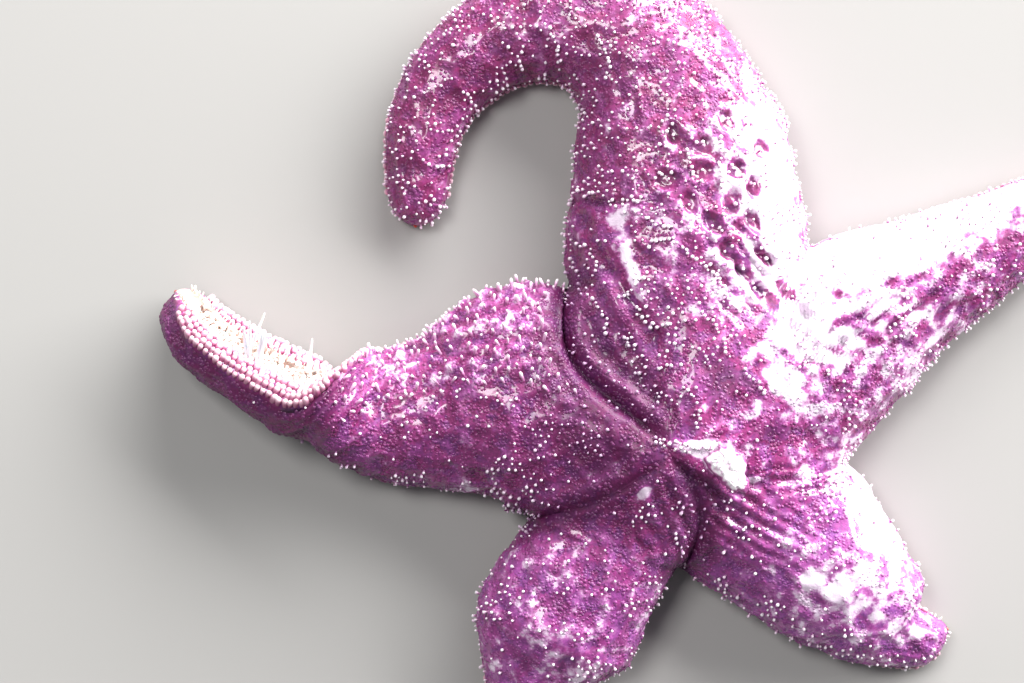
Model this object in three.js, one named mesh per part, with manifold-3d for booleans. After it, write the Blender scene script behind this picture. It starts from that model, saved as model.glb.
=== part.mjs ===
// A life-size sea star resting on the floor, aboral side up: millimetres, +Z up.
// The origin is on the floor under the mouth. Every surface point comes from two formulas:
// a midline and half width for each arm, and a domed section with a flat, grooved underside.
import * as THREE from 'three';
import { mergeVertices } from 'three/addons/utils/BufferGeometryUtils.js';
import Module from 'manifold-3d';

const wasm = await Module();
wasm.setup();

// Driving dimensions
const discHeight = 33;        // crest over the mouth
const crestBase = 5;          // an arm's crest is crestBase + crestRatio x its half width
const crestRatio = 0.86;
const edgeShare = 0.26;       // height of the arm's edge as a share of its crest
const flatShare = 0.66;       // share of the half width that lies on the floor
const furrowOpening = 1.6;    // 1 is a tight crack between two arms, more is an open fold
const domePower = 2;          // 2 is an ellipse, more is a fuller dome
const grooveHalf = 3.4;       // ambulacral groove
const grooveDepth = 4.5;
const collar = 7;             // the disc ends this far along the arms beyond the armpits
const gap = 0.3;              // between neighbouring nodes
const tipLift = 0.4;          // clearance of a rolled length over the floor
const mouth = { radius: 6.5, depth: 5.2, sides: 24 };
const madreporite = {
  x: 14.5, y: -3.5, rim: 32.4, turn: 28, halfLong: 5.7, halfWide: 3.8, proud: 1, depth: 3,
};

// Tube feet that reach out of the rolled length's groove: places along the arm, reach and lean
const tubeFeet = {
  from: 93,
  spacing: 4.4,
  reach: [8, 11, 9.5, 7, 10, 8],
  radius: 0.6,
  root: 2,
  lean: new THREE.Vector3(0.2, 0, 0.75),
};

// Mesh steps
const domeSteps = 14;
const underShares = [0.93, 0.82, flatShare];
const innerRows = 6;
const rowLength = 5;
const capRows = 3;

// Arms counter-clockwise from the right-hand one. midline: floor points from the mouth to the tip;
// halfWidths: at those points; cuts: lengths along the arm where its nodes part;
// pit: the armpit on the arm's left; crease: how the furrow to that armpit sinks, small is deep;
// bow: the furrow's bend to the left, skew 2 puts it nearer the armpit; soft: share of the furrow
// that is a rounded valley.
const arms = [
  {
    name: 'right_arm',
    midline: [[0, 0], [28, 17], [48, 33], [70, 45], [90, 56], [107.5, 64.5], [126.5, 72]],
    halfWidths: [22, 25, 22, 16.5, 12, 9, 6.5],
    lengths: ['middle', 'tip'],
    cuts: [98],
    pit: [37, 52],
    crease: 1.7,
    bow: 0,
    skew: 1,
    soft: 0.72,
  },
  {
    name: 'hooked_arm',
    midline: [[0, 0], [6, 25], [5, 52], [3.5, 76], [-4.5, 97], [-23.5, 107.5], [-45.5, 100.5],
      [-59.5, 83], [-62.5, 55.5]],
    halfWidths: [27, 28, 28.5, 26, 21.5, 17, 13, 10.5, 7.8],
    lengths: ['shaft', 'bend', 'hook', 'tip'],
    cuts: [88, 122, 158],
    pit: [-24.5, 41],
    crease: 1.05,
    bow: 8.5,
    skew: 2,
    soft: 0,
  },
  {
    name: 'left_arm',
    midline: [[0, 0], [-18, 7], [-38.5, 12], [-59.5, 9], [-79.5, 9], [-96.5, 16], [-114.5, 27.5],
      [-123.5, 40.5]],
    halfWidths: [24, 26, 26, 19, 16, 13, 11, 6.5],
    lengths: ['middle', 'rolled_length', 'tip'],
    cuts: [80, 116],
    pit: [-34.5, -17],
    crease: 1.5,
    bow: 3,
    skew: 1,
    soft: 0.25,
    roll: { from: 0.52, to: 0.7, angle: 118 },
  },
  {
    name: 'lower_left_arm',
    midline: [[0, 0], [-7, -16], [-19, -31], [-27.5, -46], [-31.5, -59], [-31.5, -71], [-27, -82]],
    halfWidths: [20, 21.5, 22.5, 21.5, 14.5, 8.5, 5],
    lengths: ['middle', 'tip'],
    cuts: [62],
    pit: [4, -30.5],
    crease: 1.15,
    bow: 6,
    skew: 1,
    soft: 0,
  },
  {
    name: 'lower_right_arm',
    midline: [[0, 0], [24, -16], [41.5, -30], [53.5, -40.5], [62.5, -47], [73, -45.5]],
    halfWidths: [21, 21.5, 21, 16.5, 9.5, 4.4],
    lengths: ['middle', 'tip'],
    cuts: [68],
    pit: [46.5, -2.5],
    crease: 1.45,
    bow: -1,
    skew: 1,
    soft: 0.75,
  },
];

const smooth = THREE.MathUtils.smoothstep;
const lerp = THREE.MathUtils.lerp;

// Midline and half width at a share u of the arm's length
function prepareArm(arm) {
  const points = arm.midline.map(([x, y]) => new THREE.Vector3(x, y, 0));
  arm.curve = new THREE.CatmullRomCurve3(points, false, 'catmullrom', 0.5);
  arm.curve.arcLengthDivisions = 400;
  arm.length = arm.curve.getLength();
}

function halfWidth(arm, u) {
  const place = arm.curve.getUtoTmapping(u) * (arm.halfWidths.length - 1);
  const k = Math.min(Math.floor(place), arm.halfWidths.length - 2);
  const blend = smooth(place - k, 0, 1) * 0.5 + (place - k) * 0.5;
  return lerp(arm.halfWidths[k], arm.halfWidths[k + 1], blend);
}

// Rounding of the last stretch: 1 along the arm, falling as a quarter circle to 0 at the tip
function tipRound(arm, u) {
  const start = 1 - arm.halfWidths.at(-1) * 1.15 / arm.length;
  const c = Math.max(0, (u - start) / (1 - start));
  return Math.sqrt(Math.max(0, 1 - c * c));
}

function offsetPoint(arm, u, side) {
  const mid = arm.curve.getPointAt(Math.min(u, 1));
  const heading = arm.curve.getTangentAt(Math.min(u, 1));
  const reach = side * halfWidth(arm, Math.min(u, 1)) * tipRound(arm, u);
  return new THREE.Vector2(mid.x - heading.y * reach, mid.y + heading.x * reach);
}

const crestHeight = (arm, u) => crestBase + crestRatio * halfWidth(arm, u);

// Share u at which the midline passes closest to a point
function nearestShare(arm, point) {
  const shares = Array.from({ length: 200 }, (_, i) => i / 400);
  const distance = (u) => arm.curve.getPointAt(u).distanceTo(new THREE.Vector3(point.x, point.y, 0));
  return shares.reduce((best, u) => (distance(u) < distance(best) ? u : best));
}

// Each armpit is shared by two arms: its own edge height, and how far each edge is pulled to it
function preparePits() {
  arms.forEach((arm, i) => {
    const next = arms[(i + 1) % arms.length];
    const point = new THREE.Vector2(...arm.pit);
    const { crease, skew, soft } = arm;
    const bow = arm.bow * (skew + 1) ** (skew + 1) / skew ** skew;
    const furrow = { point, crease, bow, skew, soft, edge: 0 };
    for (const [owner, side] of [[arm, 1], [next, -1]]) {
      const u = nearestShare(owner, point);
      const pull = point.clone().sub(offsetPoint(owner, u, side));
      owner.sides = { ...owner.sides, [side]: { furrow, u, pull } };
      furrow.edge += edgeShare * crestHeight(owner, u) / 2;
    }
  });
  for (const arm of arms) {
    arm.neck = (arm.sides[1].u + arm.sides[-1].u) / 2;
    arm.discEnd = arm.neck + collar / arm.length;
  }
}

// One edge of an arm at share u: along the furrow inside the disc, along the margin outside it
function edgeAt(arm, u, side) {
  const { furrow, u: pitShare, pull } = arm.sides[side];
  const inner = Math.min(u / arm.neck, 1);
  if (inner < 1) {
    const sunk = Math.sqrt(1 - inner ** furrow.crease);
    const across = new THREE.Vector2(-furrow.point.y, furrow.point.x).normalize();
    return {
      point: furrow.point.clone().multiplyScalar(inner)
        .addScaledVector(across, furrow.bow * inner ** furrow.skew * (1 - inner)),
      top: furrow.edge + (discHeight - furrow.edge) * sunk,
      bottom: furrow.edge * smooth(inner, 0.7, 1) ** 2,
      sharp: smooth(inner, furrow.soft, 1),
    };
  }
  const fade = 1 - smooth(u, arm.neck, arm.neck + 0.3);
  const share = u + (pitShare - arm.neck) * fade;
  const height = lerp(edgeShare * crestHeight(arm, u), furrow.edge, fade);
  const point = offsetPoint(arm, share, side).addScaledVector(pull, fade);
  return { point, top: height, bottom: height, sharp: 1 };
}

// Point of the section at share u, t from -1 (right edge) to 1 (left edge)
function sectionPoint(arm, u, t, rise, onTop) {
  const mid = arm.curve.getPointAt(u);
  const left = edgeAt(arm, u, 1);
  const right = edgeAt(arm, u, -1);
  const straight = left.point.clone().sub(right.point).multiplyScalar(t / 2);
  const bow = left.point.clone().add(right.point).multiplyScalar(0.5).sub(mid).multiplyScalar(t * t);
  const near = t > 0 ? left : right;
  const inner = Math.min(u / arm.neck, 1);
  const round = tipRound(arm, u);
  let z;
  if (onTop) {
    const valley = (1 + Math.cos(Math.PI * t)) / 2;
    const lip = rise ** lerp(furrowOpening, 1, smooth(inner, 0.6, 1));
    const fold = lerp(valley, lip, near.sharp);
    const crest = lerp(discHeight, crestHeight(arm, u), smooth(inner, 0, 1));
    z = near.top + (crest - near.top) * fold * round;
  } else {
    const width = left.point.distanceTo(right.point) / 2;
    const fromFlat = Math.max(0, (Math.abs(t) - flatShare) / (1 - flatShare));
    const lift = near.bottom * (1 - Math.sqrt(Math.max(0, 1 - fromFlat ** 2)));
    const groove = Math.max(0, 1 - (Math.abs(t) / Math.min(grooveHalf / width, 0.45)) ** 2);
    z = lerp(near.bottom, lift + grooveDepth * groove * smooth(width, 3, 9), round);
  }
  return new THREE.Vector3(mid.x + straight.x + bow.x, mid.y + straight.y + bow.y, z);
}

// Turns a section about the arm's axis, rests it over the floor and centres it on the midline
function rollSection(arm, u, ring) {
  if (!arm.roll || u <= arm.roll.from) return ring;
  const share = smooth(u, arm.roll.from, arm.roll.to);
  const angle = THREE.MathUtils.degToRad(arm.roll.angle) * share;
  const mid = arm.curve.getPointAt(u);
  const heading = arm.curve.getTangentAt(u);
  const across = new THREE.Vector3(-heading.y, heading.x, 0);
  const centre = crestHeight(arm, u) / 2;
  const turned = ring.map((point) => {
    const a = point.clone().sub(mid).dot(across);
    const h = point.z - centre;
    return [a * Math.cos(angle) + h * Math.sin(angle), h * Math.cos(angle) - a * Math.sin(angle)];
  });
  const sideways = turned.map(([a]) => a);
  const heights = turned.map(([, h]) => h);
  const shift = share * (Math.max(...sideways) + Math.min(...sideways)) / 2;
  const lift = Math.min(...ring.map((point) => point.z)) + tipLift * share - Math.min(...heights);
  return turned.map(([a, h]) => mid.clone().addScaledVector(across, a - shift).setZ(h + lift));
}

// Closed ring at share u: over the dome from the right edge to the left, and back underneath
function ringAt(arm, u) {
  const width = Math.max(halfWidth(arm, u), 1);
  const ring = [];
  for (let k = 0; k <= domeSteps; k++) {
    const angle = Math.PI * (k / domeSteps - 0.5);
    const t = Math.sign(Math.sin(angle)) * Math.abs(Math.sin(angle)) ** (2 / domePower);
    ring.push(sectionPoint(arm, u, t, Math.cos(angle) ** (2 / domePower), true));
  }
  const grooveShare = Math.min(grooveHalf / width, 0.45);
  const under = [...underShares, grooveShare, grooveShare / 2];
  for (const t of [...under, 0, ...under.map((value) => -value).reverse()]) {
    ring.push(sectionPoint(arm, u, t, 0, false));
  }
  return rollSection(arm, u, ring);
}

// Shares of the rows between two places along an arm, closer together towards a rounded tip
function rowShares(arm, from, to) {
  const count = Math.max(2, Math.round((to - from) * arm.length / rowLength));
  const shares = Array.from({ length: count + 1 }, (_, i) => lerp(from, to, i / count));
  if (to < 1) return shares;
  const start = 1 - arm.halfWidths.at(-1) * 1.15 / arm.length;
  const round = Array.from({ length: capRows }, (_, i) => start
    + (1 - start) * Math.sin(Math.PI / 2 * (i + 1) / capRows));
  return [...shares.filter((u) => u < start - 0.01), start, ...round];
}

// Welded closed geometry from triangles given as corner triples
function geometryFrom(triangles) {
  const positions = triangles.flat().flatMap((point) => [point.x, point.y, point.z]);
  const soup = new THREE.BufferGeometry();
  soup.setAttribute('position', new THREE.Float32BufferAttribute(positions, 3));
  const welded = mergeVertices(soup, 1e-3);
  const index = Array.from(welded.index.array);
  const kept = [];
  for (let i = 0; i < index.length; i += 3) {
    const [a, b, c] = index.slice(i, i + 3);
    if (a !== b && b !== c && c !== a) kept.push(a, b, c);
  }
  welded.setIndex(kept);
  return welded;
}

function toManifold(geometry) {
  const bare = geometry.clone();
  bare.deleteAttribute('normal');
  bare.deleteAttribute('uv');
  const welded = mergeVertices(bare, 1e-4);
  const vertProperties = new Float32Array(welded.attributes.position.array);
  const triVerts = new Uint32Array(welded.index.array);
  return new wasm.Manifold(new wasm.Mesh({ numProp: 3, vertProperties, triVerts }));
}

function fromManifold(solid) {
  const mesh = solid.getMesh();
  const geometry = new THREE.BufferGeometry();
  geometry.setAttribute('position', new THREE.BufferAttribute(mesh.vertProperties, 3));
  geometry.setIndex(new THREE.BufferAttribute(mesh.triVerts, 1));
  return geometry;
}

// Triangles between neighbouring rings; closed says whether a ring's ends are joined
function strip(ringA, ringB, closed) {
  const triangles = [];
  const count = closed ? ringA.length : ringA.length - 1;
  for (let k = 0; k < count; k++) {
    const n = (k + 1) % ringA.length;
    triangles.push([ringA[k], ringB[k], ringB[n]], [ringA[k], ringB[n], ringA[n]]);
  }
  return triangles;
}

function cap(ring, facesTip) {
  const centre = ring.reduce((sum, point) => sum.add(point), new THREE.Vector3()).divideScalar(ring.length);
  return ring.map((point, k) => {
    const next = ring[(k + 1) % ring.length];
    return facesTip ? [centre, next, point] : [centre, point, next];
  });
}

// One length of an arm, closed at both ends
function armLength(arm, from, to) {
  const half = gap / 2 / arm.length;
  const shares = rowShares(arm, from + half, to < 1 ? to - half : 1);
  const rings = shares.map((u) => ringAt(arm, u));
  const walls = rings.slice(1).flatMap((ring, k) => strip(rings[k], ring, true));
  const end = to < 1 ? cap(rings.at(-1), true) : [];
  return geometryFrom([...cap(rings[0], false), ...walls, ...end]);
}

// The disc: the inner rows of all five arms, out to a collar beyond the armpits
function discGeometry() {
  const triangles = arms.flatMap((arm) => {
    const inner = Array.from({ length: innerRows + 1 }, (_, i) => arm.neck * i / innerRows);
    const end = arm.discEnd - gap / 2 / arm.length;
    const rings = [...inner, (arm.neck + end) / 2, end].map((u) => ringAt(arm, u));
    const dome = rings.map((ring) => ring.slice(0, domeSteps + 1));
    const floor = rings.map((ring, k) => {
      const edges = [1, -1].map((side) => (k < innerRows ? sectionPoint(arm, inner[k], side, 0, false)
        : ring[side > 0 ? domeSteps : 0]));
      return [edges[0], ...ring.slice(domeSteps + 1), edges[1]];
    });
    const walls = [dome, floor].flatMap((sheet) => sheet.slice(1)
      .flatMap((row, k) => strip(sheet[k], row, false)));
    return [...walls, ...cap(rings.at(-1), true)];
  });
  return geometryFrom(triangles);
}

// Upright cylinder between two heights, oval when its half widths differ
function ovalPlug(halfAcross, halfAlong, from, to, sides) {
  const plug = new THREE.CylinderGeometry(1, 1, to - from, sides).rotateX(Math.PI / 2);
  return plug.scale(halfAcross, halfAlong, 1).translate(0, 0, (from + to) / 2);
}

// The sieve plate beside the disc's centre: a low dome on a short plug
function madreporiteGeometry() {
  const { halfLong, halfWide, proud, depth } = madreporite;
  const outline = [[0, -depth], [1, -depth], [1, 0], [0.72, proud * 0.7], [0, proud]];
  const plate = new THREE.LatheGeometry(outline.map(([x, y]) => new THREE.Vector2(x, y)), 16);
  return placeMadreporite(plate.rotateX(Math.PI / 2).scale(halfWide, halfLong, 1));
}

function placeMadreporite(geometry) {
  const { x, y, rim, turn } = madreporite;
  return geometry.rotateZ(THREE.MathUtils.degToRad(turn)).translate(x, y, rim);
}

// The disc with sockets for the mouth and the madreporite
function socketedDisc() {
  const { halfWide, halfLong, depth, proud } = madreporite;
  const mouthSocket = ovalPlug(mouth.radius + gap, mouth.radius + gap, -1, mouth.depth + gap, mouth.sides);
  const plateSocket = placeMadreporite(ovalPlug(halfWide + gap, halfLong + gap, -depth - gap, 3 * proud, 16));
  return fromManifold(toManifold(discGeometry()).subtract(toManifold(mouthSocket))
    .subtract(toManifold(plateSocket)));
}

// A tube foot: a thin stalk with a sucker, pointing out of the groove at share u
function tubeFoot(arm, u, reach) {
  const ring = ringAt(arm, u);
  const groove = ring[domeSteps + 1 + underShares.length + 2];
  const crest = ring[domeSteps / 2];
  const { radius, root } = tubeFeet;
  const outline = [[0, -root], [radius, -root], [radius, reach - 1], [radius * 1.5, reach - 0.5], [0, reach]];
  const foot = new THREE.LatheGeometry(outline.map(([x, y]) => new THREE.Vector2(x, y)), 7);
  const out = groove.clone().sub(crest).setZ(0).normalize().add(tubeFeet.lean).normalize();
  foot.applyQuaternion(new THREE.Quaternion().setFromUnitVectors(new THREE.Vector3(0, 1, 0), out));
  return foot.translate(groove.x, groove.y, groove.z);
}

function withTubeFeet(arm, length) {
  const feet = tubeFeet.reach.map((reach, k) => {
    const place = tubeFeet.from + k * tubeFeet.spacing;
    return toManifold(tubeFoot(arm, place / arm.length, reach));
  });
  return fromManifold(feet.reduce((solid, foot) => solid.add(foot), toManifold(length)));
}

arms.forEach(prepareArm);
preparePits();

const star = new THREE.Group();
const skinTones = ['#8d2f6d', '#a13c7b', '#7a2a68'];

function addNode(name, geometry, colour, roughness) {
  geometry.computeVertexNormals();
  const material = new THREE.MeshStandardMaterial({ color: colour, roughness, metalness: 0 });
  const mesh = new THREE.Mesh(geometry, material);
  mesh.name = name;
  star.add(mesh);
}

addNode('disc', socketedDisc(), skinTones[0], 0.35);
addNode('madreporite', madreporiteGeometry(), '#e9dccf', 0.4);
addNode('mouth', ovalPlug(mouth.radius, mouth.radius, 0, mouth.depth, mouth.sides), '#d9b8a4', 0.5);
for (const arm of arms) {
  const ends = [arm.discEnd, ...arm.cuts.map((length) => length / arm.length), 1];
  arm.lengths.forEach((length, k) => {
    const flesh = armLength(arm, ends[k], ends[k + 1]);
    const geometry = length === 'rolled_length' ? withTubeFeet(arm, flesh) : flesh;
    addNode(`${arm.name}_${length}`, geometry, skinTones[(k + 1) % skinTones.length], 0.35);
  });
}

export default star;
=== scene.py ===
from math import pi, radians

import bpy
import numpy as np
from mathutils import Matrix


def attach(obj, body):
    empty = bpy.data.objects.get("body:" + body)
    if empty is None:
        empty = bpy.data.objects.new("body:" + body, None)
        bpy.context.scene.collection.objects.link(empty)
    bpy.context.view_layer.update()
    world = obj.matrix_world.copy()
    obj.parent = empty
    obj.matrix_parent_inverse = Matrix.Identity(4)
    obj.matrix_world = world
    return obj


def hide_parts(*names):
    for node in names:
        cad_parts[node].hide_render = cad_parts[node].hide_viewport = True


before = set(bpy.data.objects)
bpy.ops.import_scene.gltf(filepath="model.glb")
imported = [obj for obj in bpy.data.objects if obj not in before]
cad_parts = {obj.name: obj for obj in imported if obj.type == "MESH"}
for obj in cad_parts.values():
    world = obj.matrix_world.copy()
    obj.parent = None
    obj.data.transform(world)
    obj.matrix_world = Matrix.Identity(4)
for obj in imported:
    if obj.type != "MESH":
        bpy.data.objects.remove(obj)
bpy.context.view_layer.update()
mm = 0.001


def hexToLinear(text, alpha=1.0):
    # sRGB hex to linear light: c/12.92 below 0.04045, ((c + 0.055)/1.055)^2.4 above
    channels = [int(text[i:i + 2], 16) / 255 for i in (1, 3, 5)]
    return tuple(c / 12.92 if c <= 0.04045 else ((c + 0.055) / 1.055) ** 2.4 for c in channels) + (alpha,)


def smooth(x, low, high):
    # 3t^2 - 2t^3 of the clamped share of the way from low to high
    t = np.clip((x - low) / (high - low), 0, 1)
    return t * t * (3 - 2 * t)


def mix(a, b, share):
    # a at share 0, b at share 1
    return a + (b - a) * share


def unit(vectors):
    # each vector over its own length
    return vectors / np.maximum(np.linalg.norm(vectors, axis=-1, keepdims=True), 1e-9)


def bell(x, width):
    # exp(-(x / width)^2)
    return np.exp(-(x / width) ** 2)


def latticeHash(ix, iy, iz, seed):
    # repeatable number from 0 to 1 for each whole-number place
    h = (ix * 73856093) ^ (iy * 19349663) ^ (iz * 83492791) ^ np.int64(seed * 40503 + 977)
    h = (h ^ (h >> 13)) * 1274126177
    h = (h ^ (h >> 15)) * 739982445
    return ((h ^ (h >> 12)) & 0xFFFFFF) / float(0xFFFFFF)


def softNoise(points, size, seed):
    # lattice values from -1 to 1 blended by smoothstep along x, y and z
    q = points / size
    base = np.floor(q).astype(np.int64)
    f = q - base
    f = f * f * (3 - 2 * f)
    total = np.zeros(len(points))
    for corner in range(8):
        dx, dy, dz = corner & 1, corner >> 1 & 1, corner >> 2
        weight = (f[:, 0] if dx else 1 - f[:, 0]) * (f[:, 1] if dy else 1 - f[:, 1])
        weight = weight * (f[:, 2] if dz else 1 - f[:, 2])
        total += weight * latticeHash(base[:, 0] + dx, base[:, 1] + dy, base[:, 2] + dz, seed)
    return total * 2 - 1


def layeredNoise(points, size, seed, layers=3):
    # each layer has half the size and half the weight of the one before
    return sum(softNoise(points, size / 2 ** k, seed + 31 * k) / 2 ** k for k in range(layers)) / 1.75


def cells(points, size, seed):
    # distance to the nearest and second nearest of one jittered seed per lattice cube
    q = points / size
    base = np.floor(q).astype(np.int64)
    near = np.full(len(points), 9.0)
    second = np.full(len(points), 9.0)
    for shift in range(27):
        cube = base + np.array([shift % 3 - 1, shift // 3 % 3 - 1, shift // 9 - 1])
        x, y, z = cube[:, 0], cube[:, 1], cube[:, 2]
        jitter = np.stack([latticeHash(x, y, z, seed + k) for k in (0, 1, 2)], 1)
        away = np.linalg.norm(cube + 0.12 + 0.76 * jitter - q, axis=1)
        nearer = away < near
        second = np.where(nearer, near, np.minimum(second, away))
        near = np.where(nearer, away, near)
    return near, second


# The same midlines and half widths as the solid model, in millimetres
star = {
    "discHeight": 33.0, "crestBase": 5.0, "crestRatio": 0.86, "edgeShare": 0.26, "flatShare": 0.66,
    "grooveHalf": 3.4, "grooveDepth": 4.5, "tipLift": 0.4,
    "coat": 1.15,            # the skin lies this far inside the solid; the spines fill it
    "furrowOpening": 1.6,    # 1 is a tight crack between two arms, more is an open fold
    "innerRows": 48, "rowLength": 0.98, "capRows": 9, "domeSteps": 96, "floorSteps": 38,
}
# The arms run counter-clockwise. pit is the armpit on an arm's left. The furrow to it has a bow to the
# left (skew 2 puts it nearer the armpit), crease says how it sinks (small is deep), soft is the share of
# it that is a rounded valley, groove its own depth and fold the height of the fold on its right side.
# hue goes from lilac at -1 to rosy at 1.
arms = [
    {"name": "right", "pit": (37, 52), "bow": 0, "skew": 1, "crease": 1.7, "soft": 0.72,
     "groove": 0.3, "fold": 0, "hue": 0,
     "midline": [(0, 0), (28, 17), (48, 33), (70, 45), (90, 56), (107.5, 64.5), (126.5, 72)],
     "halfWidths": [22, 25, 22, 16.5, 12, 9, 6.5]},
    {"name": "hooked", "pit": (-24.5, 41), "bow": 8.5, "skew": 2, "crease": 1.05, "soft": 0.2,
     "groove": 1.7, "fold": 1.2, "hue": 1,
     "midline": [(0, 0), (6, 25), (5, 52), (3.5, 76), (-4.5, 97), (-23.5, 107.5), (-45.5, 100.5),
                 (-59.5, 83), (-62.5, 55.5)],
     "halfWidths": [27, 28, 28.5, 26, 21.5, 17, 13, 10.5, 7.8]},
    {"name": "left", "pit": (-34.5, -17), "bow": 3, "skew": 1, "crease": 1.5, "soft": 0.25,
     "groove": 1.0, "fold": 0.5, "hue": 0,
     "roll": (0.52, 0.7, 118),    # the shares of its length where it starts and ends, and its degrees
     "midline": [(0, 0), (-18, 7), (-38.5, 12), (-59.5, 9), (-79.5, 9), (-96.5, 16), (-114.5, 27.5),
                 (-123.5, 40.5)],
     "halfWidths": [24, 26, 26, 19, 16, 13, 11, 6.5]},
    {"name": "lowerLeft", "pit": (4, -30.5), "bow": 6, "skew": 1, "crease": 1.15, "soft": 0,
     "groove": 1.0, "fold": 0.4, "hue": -0.6,
     "midline": [(0, 0), (-7, -16), (-19, -31), (-27.5, -46), (-31.5, -59), (-31.5, -71), (-27, -82)],
     "halfWidths": [20, 21.5, 22.5, 21.5, 14.5, 8.5, 5]},
    {"name": "lowerRight", "pit": (46.5, -2.5), "bow": -1, "skew": 1, "crease": 1.45, "soft": 0.75,
     "groove": 0.0, "fold": 0, "hue": -1,
     "midline": [(0, 0), (24, -16), (41.5, -30), (53.5, -40.5), (62.5, -47), (73, -45.5)],
     "halfWidths": [21, 21.5, 21, 16.5, 9.5, 4.4]},
]
leftArm = [arm["name"] for arm in arms].index("left")


def prepareArm(arm):
    # Catmull-Rom curve through the midline, tabled against its share of the length
    points = np.array(arm["midline"], float)
    ends = np.vstack([2 * points[0] - points[1], points, 2 * points[-1] - points[-2]])
    place = np.linspace(0, len(points) - 1, 2401)
    k = np.minimum(place.astype(int), len(points) - 2)
    t = (place - k)[:, None]
    a, b, c, d = (ends[k + i] for i in range(4))
    line = 0.5 * (2 * b + (c - a) * t + (2 * a - 5 * b + 4 * c - d) * t ** 2
                  + (3 * b - a - 3 * c + d) * t ** 3)
    run = np.concatenate([[0], np.cumsum(np.hypot(*np.diff(line, axis=0).T))])
    heading = np.gradient(line, axis=0)
    heading /= np.linalg.norm(heading, axis=1)[:, None]
    arm.update(line=line, place=place, share=run / run[-1], length=run[-1], heading=heading)


def midPoint(arm, u):
    # where the midline is at the share u of its length
    return np.stack([np.interp(u, arm["share"], arm["line"][:, i]) for i in (0, 1)], -1)


def headingAt(arm, u):
    # the way the midline goes there, of length 1
    return np.stack([np.interp(u, arm["share"], arm["heading"][:, i]) for i in (0, 1)], -1)


def halfWidth(arm, u):
    # between two listed widths, half straight and half smoothstep
    widths = np.array(arm["halfWidths"], float)
    place = np.interp(u, arm["share"], arm["place"])
    k = np.minimum(place.astype(int), len(widths) - 2)
    f = place - k
    return mix(widths[k], widths[k + 1], 0.5 * smooth(f, 0, 1) + 0.5 * f)


def capStart(arm):
    # the tip is round over 1.15 of its last half width
    return 1 - arm["halfWidths"][-1] * 1.15 / arm["length"]


def tipRound(arm, u):
    # quarter circle from 1 to 0 over the tip's last stretch
    c = np.clip((u - capStart(arm)) / (1 - capStart(arm)), 0, 1)
    return np.sqrt(1 - c * c)


def crestHeight(arm, u):
    # a base plus a part of the half width
    return star["crestBase"] + star["crestRatio"] * halfWidth(arm, u)


def marginPoint(arm, u, side):
    # the midline point plus half a width across the heading
    u = np.minimum(u, 1)
    heading = headingAt(arm, u)
    reach = (side * halfWidth(arm, u) * tipRound(arm, u))[..., None]
    return midPoint(arm, u) + np.stack([-heading[..., 1], heading[..., 0]], -1) * reach


def furrowLine(furrow, share):
    # from the middle of the star to the armpit, bowed aside by share^skew (1 - share)
    bend = share ** furrow["skew"] * (1 - share)
    return furrow["point"] * share[:, None] + furrow["bow"] * bend[:, None]


def preparePits():
    # the furrow between each arm and the next, its bow scaled so that bow is its largest bend, and
    # the pull that brings both arms' margins to the armpit where they pass nearest to it
    for arm, after in zip(arms, arms[1:] + arms[:1]):
        point = np.array(arm["pit"], float)
        across = np.array([-point[1], point[0]]) / np.hypot(*point)
        skew = arm["skew"]
        bow = across * arm["bow"] * (skew + 1) ** (skew + 1) / skew ** skew
        furrow = {key: arm[key] for key in ("skew", "crease", "soft", "groove", "fold")}
        furrow.update(point=point, bow=bow, edge=0.0)
        for owner, side in ((arm, 1), (after, -1)):
            shares = np.arange(200) / 400
            u = shares[np.argmin(np.linalg.norm(midPoint(owner, shares) - furrow["point"], axis=1))]
            pull = furrow["point"] - marginPoint(owner, np.array(u), side)
            owner.setdefault("sides", {})[side] = {"furrow": furrow, "u": u, "pull": pull}
            furrow["edge"] += star["edgeShare"] * float(crestHeight(owner, np.array(u))) / 2
    for arm in arms:
        arm["neck"] = (arm["sides"][1]["u"] + arm["sides"][-1]["u"]) / 2


def edgeAt(arm, u, side):
    # inside the disc the furrow line, sinking as sqrt(1 - share^crease); outside it the margin
    data = arm["sides"][side]
    furrow = data["furrow"]
    inner = np.minimum(u / arm["neck"], 1)
    fade = 1 - smooth(u, arm["neck"], arm["neck"] + 0.3)
    outer = marginPoint(arm, u + (data["u"] - arm["neck"]) * fade, side) + data["pull"] * fade[:, None]
    height = mix(star["edgeShare"] * crestHeight(arm, u), furrow["edge"], fade)
    sunk = np.sqrt(np.maximum(0, 1 - inner ** furrow["crease"]))
    isInner = inner < 1
    point = np.where(isInner[:, None], furrowLine(furrow, inner), outer)
    top = np.where(isInner, furrow["edge"] + (star["discHeight"] - furrow["edge"]) * sunk, height)
    bottom = np.where(isInner, furrow["edge"] * smooth(inner, 0.7, 1) ** 2, height)
    sharp = np.where(isInner, smooth(inner, furrow["soft"], 1), 1.0)
    return point, top, bottom, sharp


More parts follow.
